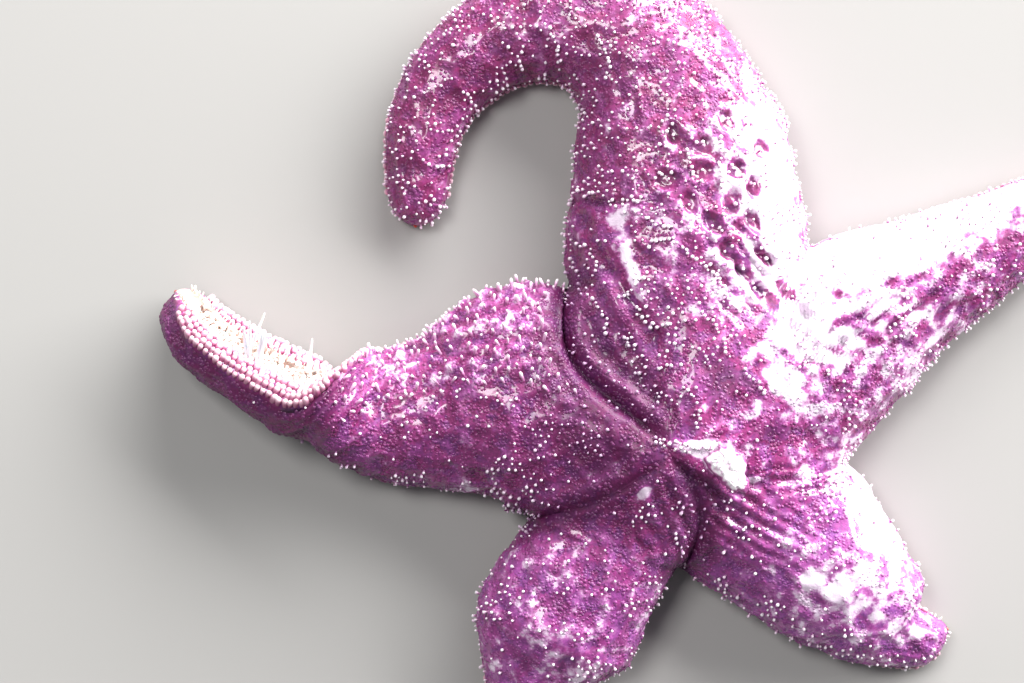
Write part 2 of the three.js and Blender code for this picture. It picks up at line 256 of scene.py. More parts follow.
def sheetPoints(arm, u, t, onTop):
    # rows u by columns t: floor place by a parabola through both edges and the midline,
    # height by an ellipse over the edges on top, and by flats with a groove underneath
    left, leftTop, leftBottom, leftSharp = edgeAt(arm, u, 1)
    right, rightTop, rightBottom, rightSharp = edgeAt(arm, u, -1)
    mid = midPoint(arm, u)
    tt = t if t.ndim == 2 else np.broadcast_to(t, (len(u), len(t)))
    floor = (mid[:, None] + (left - right)[:, None] * tt[..., None] / 2
             + ((left + right) / 2 - mid)[:, None] * tt[..., None] ** 2)
    inner = np.minimum(u / arm["neck"], 1)[:, None]
    tip = tipRound(arm, u)[:, None]
    if onTop:
        valley = (1 + np.cos(pi * tt)) / 2
        sharp = np.where(tt > 0, leftSharp[:, None], rightSharp[:, None])
        power = mix(star["furrowOpening"], 1, smooth(inner, 0.6, 1)) / 2
        fold = mix(valley, np.maximum(0, 1 - tt ** 2) ** power, sharp)
        edge = np.where(tt > 0, leftTop[:, None], rightTop[:, None])
        crest = mix(star["discHeight"], crestHeight(arm, u)[:, None], smooth(inner, 0, 1))
        z = edge + (crest - edge) * fold * tip
    else:
        width = np.maximum(np.linalg.norm(left - right, axis=1)[:, None] / 2, 1e-6)
        edge = np.where(tt > 0, leftBottom[:, None], rightBottom[:, None])
        beyond = np.clip((np.abs(tt) - star["flatShare"]) / (1 - star["flatShare"]), 0, 1)
        groove = np.maximum(0, 1 - (np.abs(tt) / np.minimum(star["grooveHalf"] / width, 0.45)) ** 2)
        flat = edge * (1 - np.sqrt(1 - beyond ** 2)) + star["grooveDepth"] * groove * smooth(width, 3, 9)
        z = mix(edge, flat, tip)
    return np.concatenate([floor, z[..., None]], -1)


def rollSheets(arm, u, sheets):
    # turns each whole section about the arm's axis and sets it down on the floor again
    if "roll" not in arm:
        return sheets
    start, end, angle = arm["roll"]
    share = smooth(u, start, end)[:, None]
    turn = radians(angle) * share
    mid = midPoint(arm, u)
    heading = headingAt(arm, u)
    across = np.stack([-heading[:, 1], heading[:, 0]], -1)
    whole = np.concatenate(sheets, 1)
    a = np.einsum("jkc,jc->jk", whole[..., :2] - mid[:, None], across)
    h = whole[..., 2] - crestHeight(arm, u)[:, None] / 2
    newA = a * np.cos(turn) + h * np.sin(turn)
    newH = h * np.cos(turn) - a * np.sin(turn)
    newA -= share * (newA.max(1, keepdims=True) + newA.min(1, keepdims=True)) / 2
    newH += whole[..., 2].min(1, keepdims=True) + star["tipLift"] * share - newH.min(1, keepdims=True)
    along = np.einsum("jkc,jc->jk", whole[..., :2] - mid[:, None], heading)
    floor = mid[:, None] + across[:, None] * newA[..., None] + heading[:, None] * along[..., None]
    turned = np.concatenate([floor, newH[..., None]], -1)
    turned = np.where(u[:, None, None] > start, turned, whole)
    cut = sheets[0].shape[1]
    return [turned[:, :cut], turned[:, cut:]]


def armRows(arm):
    # shares of the length: even steps in the disc and in the arm, then even angles round the tip
    inner = arm["neck"] * np.arange(star["innerRows"]) / star["innerRows"]
    count = int(round((capStart(arm) - arm["neck"]) * arm["length"] / star["rowLength"]))
    outer = np.linspace(arm["neck"], capStart(arm), count)
    cap = np.sin(pi / 2 * np.arange(1, star["capRows"] + 1) / star["capRows"])
    return np.concatenate([inner, outer, capStart(arm) + (1 - capStart(arm)) * cap])


def armSheets(arm, u):
    # the dome's columns are even in angle, the floor's columns closer together in the groove
    t = np.sin(pi * (np.arange(star["domeSteps"] + 1) / star["domeSteps"] - 0.5))
    dome = sheetPoints(arm, u, t, True)
    half = star["floorSteps"] // 2
    width = np.maximum(halfWidth(arm, u), 1)[:, None]
    groove = np.minimum(star["grooveHalf"] / width, 0.45)
    nine = np.arange(9) / 9
    side = np.concatenate([groove * nine, groove + (1 - groove) * np.arange(half - 8) / (half - 9)], 1)
    floorT = np.concatenate([side[:, ::-1], -side[:, 1:]], 1)
    calm = [dome, sheetPoints(arm, u, floorT, False)]
    return calm, rollSheets(arm, u, calm)


for arm in arms:
    prepareArm(arm)
preparePits()
print("star form ready")

# Sheets of all arms, laid on the OFBake square at one scale: the dome sheets in three bands and
# the floor sheets smaller beside and above them. Each entry: start and middle of the strip, mm.
bake = {
    "square": 284.0, "floorScale": 0.45, "patch": 0.003,
    "domes": {"hooked": (3, 44.5), "left": (3, 128.5), "lowerRight": (152, 123.5), "right": (3, 207),
              "lowerLeft": (153, 201)},
    "floors": {"hooked": (3, 262.5), "left": (96, 262.5), "right": (166, 262.5), "lowerLeft": (203, 15),
               "lowerRight": (203, 43)},
}


def stripMap(arm, sheet, u, onTop):
    # along the strip the midline's length, across it the signed arc from the middle column
    start, middle = bake["domes" if onTop else "floors"][arm["name"]]
    scale = 1.0 if onTop else bake["floorScale"]
    step = np.linalg.norm(np.diff(sheet, axis=1), axis=2)
    arc = np.concatenate([np.zeros((len(u), 1)), np.cumsum(step, axis=1)], 1)
    across = arc - arc[:, [sheet.shape[1] // 2]]
    along = np.broadcast_to((u * arm["length"])[:, None], across.shape)
    spot = np.stack([start + along * scale, middle + across * scale], -1) / bake["square"]
    return along, across, spot


def gridTriangles(rows, columns, first):
    # two triangles for each cell of a grid whose points are numbered row by row
    j, k = np.meshgrid(np.arange(rows - 1), np.arange(columns - 1), indexing="ij")
    a = (first + j * columns + k).ravel()
    b = a + columns
    return np.concatenate([np.stack([a, b, b + 1], 1), np.stack([a, b + 1, a + 1], 1)])


def vertexNormals(points, triangles):
    # sum of the face normals round each point, larger faces counting more
    face = np.cross(points[triangles[:, 1]] - points[triangles[:, 0]],
                    points[triangles[:, 2]] - points[triangles[:, 0]])
    total = np.stack([sum(np.bincount(triangles[:, c], face[:, i], len(points)) for c in range(3))
                      for i in range(3)], 1)
    return unit(total)


def makeMesh(name, points, triangles, spots=None, shades=None):
    # points in millimetres; spots are OFBake places and shades named values, both by corner or point
    mesh = bpy.data.meshes.new(name)
    mesh.vertices.add(len(points))
    mesh.vertices.foreach_set("co", (np.asarray(points) * mm).astype(np.float32).ravel())
    mesh.loops.add(triangles.size)
    mesh.loops.foreach_set("vertex_index", triangles.astype(np.int32).ravel())
    mesh.polygons.add(len(triangles))
    mesh.polygons.foreach_set("loop_start", np.arange(0, triangles.size, 3, dtype=np.int32))
    if spots is not None:
        layer = mesh.uv_layers.new(name="OFBake")
        layer.data.foreach_set("uv", spots.astype(np.float32).ravel())
    for label, values in (shades or {}).items():
        attribute = mesh.attributes.new(label, "FLOAT", "POINT")
        attribute.data.foreach_set("value", values.astype(np.float32))
    mesh.update()
    mesh.validate()
    mesh.shade_smooth()
    piece = bpy.data.objects.new(name, mesh)
    bpy.context.scene.collection.objects.link(piece)
    return piece


skinForm = {
    "lumpSize": 17, "lump": 1.1,                         # slow swellings of the body
    "netSize": 7.4, "netWidth": 0.5, "netRise": 0.5,     # ridges that carry the spines
    "poreSize": 4.4, "pore": 0.75,                       # soft patches between them
    "grainSize": 1.6, "grain": 0.14,
    "knobSize": 4.0, "knob": 1.4,                        # swellings of the left arm's far side
    "knobAcross": (4, 14), "knobShares": (0.08, 0.6),    # how far across and along the arm they go
    "pitDepth": 1.7, "pitRim": 0.6, "pitBulge": 1.5,
    "foldPlace": 3.6, "foldWide": 1.7,                   # the fold on the right of a furrow
    "valley": 0.6, "valleyPlace": 7.6, "valleyWide": 2.2,
    # how far a furrow's groove, its painted shade, its eased walls and its levelled ground reach
    "grooveWide": 1.2, "shadeWide": 4.2, "easeWide": 2.6, "evenWide": 5,
    "floorInset": 0.8, "lowest": 0.4,                    # the side of the mouth inside the solids
}

# Open pits of the hooked arm's outer flank: x, y, half length, half width, turn in degrees
craters = [(8.6, 74.9, 3.1, 3.1, 0), (8.2, 68.7, 3.2, 2.9, 0), (17.1, 69.1, 3, 2.9, 0),
           (15.9, 61.2, 3.6, 2.8, 75), (21.2, 65.2, 3.2, 2.2, 90), (-0.5, 66.6, 3.9, 2.8, 0),
           (14.7, 81.3, 3.1, 2.5, 100), (5, 60.8, 3.4, 2.1, 110), (10.9, 55.7, 3.9, 2.1, 128),
           (21.2, 56.4, 4, 2, 115), (14.6, 49.3, 4, 2, 128), (18.4, 45.2, 4, 2.1, 125),
           (24.2, 47.1, 4.4, 1.8, 130), (23.8, 38.3, 4.6, 1.8, 140), (29.5, 39.7, 4.4, 1.7, 140),
           (1.1, 77.9, 2, 3.2, 0), (23.6, 74.5, 3.2, 2.2, 80)]

# Fields of parallel folds: x, y, reach along and across them, turn in degrees, wave length, height
folds = [(27, 38, 16, 9, -42, 4.0, 1.0), (40, 26, 13, 9, -20, 3.6, 0.5), (-13, 37, 17, 6, -60, 7.2, 1.0),
         (-24, 22, 13, 6, -58, 6.5, 0.7), (-15, 61.6, 10, 1.5, -4, 6, -1.3), (20, -17, 17, 9, -32, 3, 0.45),
         (50, 33, 16, 9, 32, 3.4, 0.6), (2, -18, 12, 9, -70, 4.2, 0.5), (7, 1.6, 8, 1.8, 4, 9, 0.8),
         (32, -5, 12, 6, 14, 3.2, 0.4),
         (7.5, -7.5, 9, 1.5, -42, 9, -1.9), (33, 24, 13, 10, 50, 4.4, 0.6), (62, 38, 16, 6, 40, 5, 0.5),
         (-4, 20, 15, 9, 75, 5, 0.45), (9, 50, 20, 2.2, -52, 7, 0.9)]


def ovalWindow(calm, x, y, long, wide, turn):
    # place in an oval's own frame, and its distance from the middle in half lengths
    c, s = np.cos(radians(turn)), np.sin(radians(turn))
    a = (calm[:, 0] - x) * c + (calm[:, 1] - y) * s
    b = (calm[:, 1] - y) * c - (calm[:, 0] - x) * s
    return b, np.hypot(a / long, b / wide)


# Painted light and shade on the skin, broad fields and narrow strokes, painted shade below zero and
# painted highlight above: x, y, reach along and across, turn in degrees, amount
stains = [
    (-16, 10, 28, 18, -50, -1.3), (-15, 60, 40, 12, 95, -0.3), (-70, 0, 40, 9, 0, -0.4),
    (-115, 16, 24, 9, 125, -1.0), (-62, 80, 30, 11, 85, -0.3), (-30, 100, 25, 12, 0, -0.3),
    (26, 71, 24, 6.5, 97, 1.15), (27, 44, 20, 7, 112, 0.72), (12, 66, 17, 6, 100, 0.3),
    (60, 55, 45, 9, 17, 1.25), (50, 34, 26, 11, 25, 0.62), (33, 24, 15, 9, 45, 0.5),
    (63, 20, 24, 7, 50, 0.5), (46, 32.5, 6.5, 1.5, 8, -1.1), (50, 28, 4, 1.3, -20, -0.8),
    (57, 42, 5, 1.5, 20, -0.8), (65, 39, 7, 1.6, 14, -0.9), (40, 18, 6, 1.5, -25, -0.6),
    (30, 23, 6, 1.4, -50, -0.9), (57, 33, 5, 1.4, -50, -0.5), (76, 47, 8, 1.5, 25, -0.9),
    (53, -14.5, 19, 6, -60, 1.2), (35, -31, 3, 2.5, 0, 0.7), (46, -36, 14, 8, -35, 0.7),
    (-24, -50, 14, 11, -60, 0.5), (60, -46, 8, 4, 0, 0.5),
    (-12, 55.5, 6, 2.6, -75, 1.3), (-8.8, 44, 6, 1.8, -75, 1.1), (14.5, 52.5, 10, 1.9, -56, -1.3),
    (3.8, 64, 7, 2.2, -34, -1.1), (22, 52, 7, 1.5, -50, -1.2), (13, 18, 6, 3.2, -50, -1.0),
    (26, 5, 6, 2.4, 5, -0.9), (4, 30, 7, 3, -60, -0.7), (9, 10.5, 5, 1.4, -75, 0.9),
    (20, 24, 5, 1.5, 40, 0.8), (-3, 36, 5, 2.4, -70, -0.6), (-13, -9, 3, 1.7, 35, 1.0),
    (6, 1.6, 9, 2.3, -3, 1.6), (10, -1.4, 4.5, 2.4, -35, 1.5), (15.5, -4, 7.6, 5.4, 128, 0.75),
    (-6.5, -10, 3.6, 1.9, 45, 2.3), (8.5, -7.4, 9, 1.7, -44, -1.5), (20.5, 11.5, 5, 2.2, 35, 0.5),
    (29, 9.5, 5, 1.7, -50, 0.4), (27.5, 16, 6, 1.6, -35, 0.4), (20, 17.5, 5, 1.8, -30, -0.9),
    (25, 13, 5, 1.1, -30, -1.0), (31, -3, 6, 1.5, -20, 0.5), (29, -7.5, 5, 1.3, -8, 0.45),
]


def stainAt(calm):
    # each field fades out as exp(-r^2); the pits are cleared inside, with painted highlight on their rims
    # and on the bulge in their middle
    total = sum(amount * np.exp(-ovalWindow(calm, x, y, long, wide, turn)[1] ** 2)
                for x, y, long, wide, turn, amount in stains).clip(-1.2, 1.2)
    for crater in craters:
        r = ovalWindow(calm, *crater)[1]
        total = total * (1 - np.exp(-(r / 0.9) ** 4)) + 0.3 * bell(r - 1.2, 0.22)
        total += 0.4 * bell(r, 0.36)
    return total


def craterRelief(calm):
    # each pit: a bowl with a raised rim and a low bulge in its bottom
    total = np.zeros(len(calm))
    for crater in craters:
        r = ovalWindow(calm, *crater)[1]
        total -= skinForm["pitDepth"] * np.exp(-(r / 0.74) ** 4)
        total += skinForm["pitRim"] * bell(r - 1.12, 0.28) + skinForm["pitBulge"] * bell(r, 0.42)
    return total


def inCraters(calm):
    # true inside 0.95 of a pit's oval
    return np.min([ovalWindow(calm, *crater)[1] for crater in craters], axis=0) < 0.95


def foldRelief(calm):
    # each field: a cosine wave across it, bent by slow noise and fading out as exp(-r^2)
    total = np.zeros(len(calm))
    sway = softNoise(calm, 8, 71) * 1.3
    for x, y, long, wide, turn, wave, height in folds:
        b, r = ovalWindow(calm, x, y, long, wide, turn)
        total += height * np.cos(2 * pi * (b + sway) / wave) * np.exp(-r ** 2)
    return total


def netAt(calm):
    # ridge strength where two cells meet, and the line along its top, bent by slow noise
    bend = np.stack([softNoise(calm, 9.0, seed) for seed in (3, 4, 5)], 1) * 1.6
    near, second = cells(calm + bend, skinForm["netSize"], 11)
    return 1 - smooth(second - near, 0, skinForm["netWidth"]), bell(second - near, 0.07)


def furrowsAt(calm):
    # distance in plan to the nearest furrow line, that to its right (below zero to its left), the share
    # of its length, and its groove and fold, which fade in from the middle of the star
    share = np.arange(81) / 80
    away, aside, near, groove, fold = (np.full(len(calm), start) for start in (99.0, 0.0, 0.0, 0.0, 0.0))
    for arm in arms:
        line = furrowLine(arm["sides"][1]["furrow"], share)
        heading = unit(np.gradient(line, axis=0))
        for (x, y), (alongX, alongY), place in zip(line, heading, share):
            dx, dy = calm[:, 0] - x, calm[:, 1] - y
            reach = np.hypot(dx, dy)
            closer = reach < away
            away = np.where(closer, reach, away)
            aside = np.where(closer, dx * alongY - dy * alongX, aside)
            near = np.where(closer, place, near)
            groove = np.where(closer, arm["groove"], groove)
            fold = np.where(closer, arm["fold"], fold)
    fade = smooth(near, 0.03, 0.25)
    return away, aside, near, groove * fade, fold * fade * (1 - smooth(near, 0.85, 1))


def ease(points, triangles, weight, rounds):
    # in every round each point goes toward the mean of its neighbours by its own weight
    start, end = triangles.ravel(), np.roll(triangles, -1, 1).ravel()
    count = np.bincount(start, minlength=len(points))[:, None]
    for _ in range(rounds):
        total = np.stack([np.bincount(start, points[end, i], len(points)) for i in range(3)], 1)
        points = points + (total / count - points) * weight[:, None]
    return points


def levelled(points, isTop, weight, spread=1.9, cell=0.4):
    # heights evened out over the plan: the mean height of each small cell, blurred by a bell curve
    # along x and along y, and read back between cells
    used = np.flatnonzero(weight > 0.003)
    low = points[used, :2].min(0) - 3 * spread
    place = (points[:, :2] - low) / cell
    size = np.ceil(place[used].max(0) + 3 * spread / cell).astype(int)
    inside = isTop & (place > 0).all(1) & (place < size - 1.5).all(1)
    spot = np.round(place[inside]).astype(int) @ [size[1], 1]
    count = np.bincount(spot, minlength=size.prod())
    height = np.bincount(spot, points[inside, 2], size.prod()) / np.maximum(count, 1)
    curve = np.exp(-(np.arange(-15, 16) * cell / spread) ** 2 / 2)
    fields = [field.reshape(size) for field in (height, (count > 0) * 1.0)]
    for axis in (0, 1):
        fields = [np.apply_along_axis(np.convolve, axis, field, curve, "same") for field in fields]
    level = fields[0] / np.maximum(fields[1], 1e-9)
    i, j = place[used].astype(int).T
    f, g = (place[used] % 1).T
    above = mix(mix(level[i, j], level[i + 1, j], f), mix(level[i, j + 1], level[i + 1, j + 1], f), g)
    points = points.copy()
    points[used, 2] = mix(points[used, 2], above, weight[used])
    return points


def knobRelief(part):
    # rounded swellings, one to a cell, on the far side of the left arm
    start, end = skinForm["knobShares"]
    share = part["along"] / arms[leftArm]["length"]
    near = cells(part["calm"], skinForm["knobSize"], 91)[0]
    window = smooth(-part["across"], *skinForm["knobAcross"]) * smooth(share, start, start + 0.1)
    window = window * (1 - smooth(share, end - 0.1, end))
    return skinForm["knob"] * (1 - smooth(near, 0.1, 0.7)) * window * (part["arm"] == leftArm)


def skinRelief(part, amount):
    # relief is the sum of ridges, soft patches, lumps, pits, folds, knobs and grain, lower near a furrow;
    # beside it the marks that the furrows and ridges leave for the skin's shape, colour and coat; shade is
    # the painted shade along a furrow
    calm, form = part["calm"], skinForm
    away, aside, near, groove, fold = furrowsAt(calm)
    (ridge, line), knob = netAt(calm), knobRelief(part)
    upper = (form["netRise"] * ridge + form["pore"] * layeredNoise(calm, form["poreSize"], 21, 2)
             + form["lump"] * layeredNoise(calm, form["lumpSize"], 41, 2)
             + craterRelief(calm) + foldRelief(calm) + knob) * (1 - 0.6 * bell(away, 3))
    # a soft fold lies to the right of a furrow, with a shallow valley behind it
    upper += fold * (bell(aside - form["foldPlace"], form["foldWide"])
                     - form["valley"] * bell(aside - form["valleyPlace"], form["valleyWide"]))
    upper += form["grain"] * softNoise(calm, form["grainSize"], 61)
    even = (groove < 0.5) * np.exp(-(away / form["evenWide"]) ** 4)
    even = even * smooth(near, 0.05, 0.2) * (1 - smooth(near, 0.93, 1))
    return {"relief": upper * amount, "ridge": ridge, "line": line, "knob": knob,
            "groove": groove * bell(away, form["grooveWide"]) * amount,
            "inFurrow": bell(away, form["easeWide"]) * (1 - smooth(near, 0.9, 1)),
            "shade": np.minimum(groove, 1) * bell(away, form["shadeWide"]),
            "even": np.where(fold > 0, 0, even)}


def armSheetList():
    # the dome and floor sheet of every arm with what is known of each of their points
    sheets = []
    for index, arm in enumerate(arms):
        u = armRows(arm)
        for onTop, calm, posed in zip((True, False), *armSheets(arm, u)):
            along, across, spot = stripMap(arm, calm, u, onTop)
            aside = np.abs(np.linspace(-1, 1, along.shape[1])) + 0 * along
            sheets.append({"arm": np.full(along.shape, index), "top": np.full(along.shape, float(onTop)),
                           "calm": calm, "posed": posed, "along": along, "across": across, "spot": spot,
                           "oral": (1 - smooth(aside, 0.5, 0.72)) * (not onTop), "u": u})
    return sheets


def closedBody():
    # the sheets as one mesh: points that lie together become one, and triangles that lose a side go
    sheets = armSheetList()
    flat = {key: np.concatenate([sheet[key].reshape(-1, *sheet[key].shape[2:]) for sheet in sheets])
            for key in sheets[0] if key != "u"}
    starts = np.concatenate([[0], np.cumsum([sheet["along"].size for sheet in sheets])])
    corners = np.concatenate([gridTriangles(*sheet["along"].shape, first)
                              for sheet, first in zip(sheets, starts)])
    keys = np.round((flat["posed"] + 0.000377) / 1e-3).astype(np.int64)
    _, pick, index = np.unique(keys, axis=0, return_index=True, return_inverse=True)
    index = index.ravel()
    triangles = index[corners]
    whole = (triangles != np.roll(triangles, 1, 1)).all(1)
    triangles, corners = triangles[whole], corners[whole]
    part = {key: values[pick] for key, values in flat.items()}
    part["top"] = np.bincount(index, flat["top"]) / np.bincount(index)
    part.update(triangles=triangles, cornerSpots=flat["spot"][corners], grids={})
    for sheet, first in zip(sheets, starts):
        rows = index[first:first + sheet["along"].size].reshape(sheet["along"].shape)
        part["grids"][sheet["arm"][0, 0], bool(sheet["top"][0, 0])] = {
            "rows": rows, "spot": sheet["spot"], "u": sheet["u"]}
    return part


def makeSkin():
    # the body laid inside the solids by the coat's depth, with the relief on top
    part = closedBody()
    triangles = part["triangles"]
    isTop = part["top"] > 0.4
    marks = skinRelief(part, smooth(part["calm"][:, 2], 1.5, 9) * isTop)
    inFurrow = marks["inFurrow"]
    # in the furrows the relief goes straight up or down, so that their walls do not cross
    outer = vertexNormals(part["posed"], triangles)
    outer = mix(outer, np.array([0, 0, 1.0]), np.minimum(1, 1.3 * (inFurrow * isTop)[:, None]))
    points = levelled(part["posed"], isTop, marks["even"] * isTop)
    points += outer * (marks["relief"] - np.where(isTop, star["coat"], skinForm["floorInset"]))[:, None]
    points = ease(points, triangles, 0.7 * inFurrow * isTop, 6)
    points[:, 2] = np.maximum(points[:, 2] - marks["groove"], skinForm["lowest"])
    # painted light and shade: the listed fields, painted highlight on the knobs, painted shade on the
    # rolled length and along the furrows
    rolled = (part["arm"] == leftArm) * smooth(part["along"] / arms[leftArm]["length"], 0.52, 0.66)
    stain = stainAt(part["calm"]) + 0.25 * marks["knob"] - 0.9 * rolled - 1.1 * marks["shade"]
    share = part["along"] / np.array([arm["length"] for arm in arms])[part["arm"]]
    hue = np.array([arm["hue"] for arm in arms])[part["arm"]] * smooth(share, 0.2, 0.5)
    part.update(points=points, normals=vertexNormals(points, triangles), inFurrow=inFurrow,
                relief=marks["relief"] - marks["groove"], ridge=marks["ridge"] * isTop,
                line=marks["line"] * (1 - 0.97 * inFurrow), stain=stain * isTop, hue=hue)
    return part


skin = makeSkin()
skinPiece = makeMesh("skin", skin["points"], skin["triangles"], skin["cornerSpots"],
                     {key: skin[key] for key in ("relief", "ridge", "stain", "oral", "hue")})
print("skin:", len(skin["triangles"]), "triangles")


def gather(points, shares, spots):
    # places on the skin: mean of its values at a few of its points, weighted by their shares
    place = {key: np.einsum("nk,nk...->n...", shares, skin[key][points])
             for key in ("points", "normals", "calm", "along", "across", "ridge", "relief", "stain", "hue")}
    place["arm"] = skin["arm"][points[:, 0]]
    place["spot"] = np.einsum("nk,nkc->nc", shares, spots)
    return place


def scatter(weight, count, seed):
    # random places: a triangle's chance is its area times the mean weight of its corners
    rng = np.random.default_rng(seed)
    a, b, c = (skin["points"][skin["triangles"][:, k]] for k in range(3))
    area = np.linalg.norm(np.cross(b - a, c - a), axis=1)
    chance = np.cumsum(area * weight[skin["triangles"]].mean(1))
    pick = np.searchsorted(chance, rng.random(count) * chance[-1])
    return gather(skin["triangles"][pick], rng.dirichlet((1, 1, 1), count), skin["cornerSpots"][pick])


def nearest(targets, key, mask):
    # the masked skin point nearest in plan to each target
    pool = np.flatnonzero(mask)
    away = sum((targets[:, None, i] - skin[key][pool][None, :, i]) ** 2 for i in (0, 1))
    pick = pool[np.argmin(away, axis=1)][:, None]
    return gather(pick, np.ones(pick.shape), skin["spot"][pick])


def alongGrid(arm, onTop, column, spacing, start, end, seed, wobble=0.2):
    # places at even steps along one line of a sheet's grid, from share start to share end of the arm
    grid = skin["grids"][arm, onTop]
    rng = np.random.default_rng(seed)
    low = int(column)
    line = mix(skin["points"][grid["rows"][:, low]], skin["points"][grid["rows"][:, low + 1]], column - low)
    run = np.concatenate([[0], np.cumsum(np.linalg.norm(np.diff(line, axis=0), axis=1))])
    first, last = np.interp([start, end], grid["u"], run)
    steps = np.arange(first, last, spacing)
    steps = steps + rng.uniform(-wobble, wobble, len(steps)) * spacing
    row = np.clip(np.interp(steps, run, np.arange(len(run))), 0, len(run) - 1.001)
    column = column + rng.uniform(-wobble, wobble, len(steps))
    j, k = row.astype(int), np.clip(column.astype(int), 0, grid["rows"].shape[1] - 2)
    f, g = row - j, column - k
    corners = (np.stack([j, j, j + 1, j + 1], 1), np.stack([k, k + 1, k, k + 1], 1))
    shares = np.stack([(1 - f) * (1 - g), (1 - f) * g, f * (1 - g), f * g], 1)
    return gather(grid["rows"][corners], shares, grid["spot"][corners])


def joined(places):
    # one set of places after the other
    return {key: np.concatenate([place[key] for place in places]) for key in places[0]}


def chosen(place, mask):
    # the places where the mask is true
    return {key: values[mask] for key, values in place.items()}


def spaced(place, distance):
    # of two places nearer than distance the earlier one stays, worked out in rounds for each arm
    kept = []
    for index in range(len(arms)):
        waiting = np.flatnonzero(place["arm"] == index)
        while len(waiting):
            p = place["points"][waiting].astype(np.float32)
            close = sum((p[:, None, i] - p[None, :, i]) ** 2 for i in range(3)) < distance ** 2
            winner = ~np.tril(close, -1).any(1)
            kept.append(waiting[winner])
            waiting = waiting[~close[:, winner].any(1)]
    return chosen(place, np.sort(np.concatenate(kept)))


def turnedFaces(levels, sides):
    # two triangles for each side between two rings, and one for each side up to the last point
    k = np.arange(sides)
    after = (k + 1) % sides
    faces = [np.stack([a, b, c], 1) for i in range(levels - 1)
             for a, b, c in ((i * sides + k, i * sides + after, (i + 1) * sides + after),
                             (i * sides + k, (i + 1) * sides + after, (i + 1) * sides + k))]
    last = (levels - 1) * sides
    faces.append(np.stack([last + k, last + after, np.full(sides, levels * sides)], 1))
    return np.concatenate(faces)


def plant(name, form, place, width, height, lean=0.0, bend=0.0, seed=1):
    # one turned shape at every place: rings (radius, height, tone) about an axis, closed at the top by
    # one point, the foot in the skin; on the bake square each is a small round patch about its root
    rings = np.array(form["rings"])
    count, sides, levels = len(place["points"]), form["sides"], len(rings)
    rng = np.random.default_rng(seed)
    axis = unit(place["normals"] + lean)
    side = unit(np.cross(axis, np.eye(3)[np.argmin(np.abs(axis), 1)]))
    other = np.cross(axis, side)
    angle = 2 * pi * np.arange(sides) / sides + rng.uniform(0, 2 * pi, (count, 1))
    spoke = np.cos(angle)[..., None] * side[:, None] + np.sin(angle)[..., None] * other[:, None]
    width = np.broadcast_to(width, count)[:, None, None, None]
    height = np.broadcast_to(height, count)[:, None, None, None]
    rise = np.append(rings[:, 1], form["top"])[None, :, None, None] * height
    centre = place["points"][:, None, None] + rise * axis[:, None, None]
    centre = centre + np.broadcast_to(bend, (count, 3))[:, None, None] * (rise / height / form["top"]) ** 2
    body = centre[:, :-1] + rings[None, :, 0, None, None] * width * spoke[:, None]
    points = np.concatenate([body.reshape(count, -1, 3), centre[:, -1]], 1)
    points[..., 2] = np.maximum(points[..., 2], 0.05)
    out = bake["patch"] / 2 * (1 - np.arange(levels) / levels)
    patch = out[None, :, None, None] * np.stack([np.cos(angle), np.sin(angle)], -1)[:, None]
    patch = np.concatenate([patch.reshape(count, -1, 2), np.zeros((count, 1, 2))], 1)
    spots = patch + place["spot"][:, None]
    size = points.shape[1]
    starts = (np.arange(count) * size)[:, None, None]
    triangles = (turnedFaces(levels, sides)[None] + starts).reshape(-1, 3)
    tone = np.append(np.repeat(rings[:, 2], sides), 1.0)
    shades = {"tone": np.tile(tone, count), "shade": np.repeat(rng.random(count), size)}
    for key in ("relief", "ridge", "stain", "hue"):
        shades[key] = np.repeat(place[key], size)
    piece = makeMesh(name, points.reshape(-1, 3), triangles, spots.reshape(-1, 2)[triangles], shades)
    print(name + ":", count, "shapes,", len(triangles), "triangles")
    return piece


def alongLine(line, spacing):
    # points at even steps along a line of straight lengths
    line = np.array(line, float)
    run = np.concatenate([[0], np.cumsum(np.hypot(*np.diff(line, axis=0).T))])
    steps = np.arange(0, run[-1], spacing)
    return np.stack([np.interp(steps, run, line[:, i]) for i in (0, 1)], 1)


# Short spines of the upper side: calcite pegs with round white heads, in lines along the skin's ridges
spine = {
    "sides": 7, "top": 1.38,
    "rings": [(0.7, -0.45, 0), (0.62, 0.3, 0.15), (0.98, 0.78, 0.8), (0.86, 1.16, 1)],
    "candidates": 15000, "apart": 1.4, "width": 0.35, "height": 0.76, "spread": 0.22, "lean": 0.16,
    "rowSpacing": 1.12, "rowApart": 0.9, "rowGrow": 0.25,    # closer and larger in the rows of beads
    "bare": (0.3, -0.1, 0.3, 0.45, 0.55),    # how much of each arm carries none, -1 to 1
    "clump": 6.5, "plateGap": 6, "dimmed": 0.55,
}

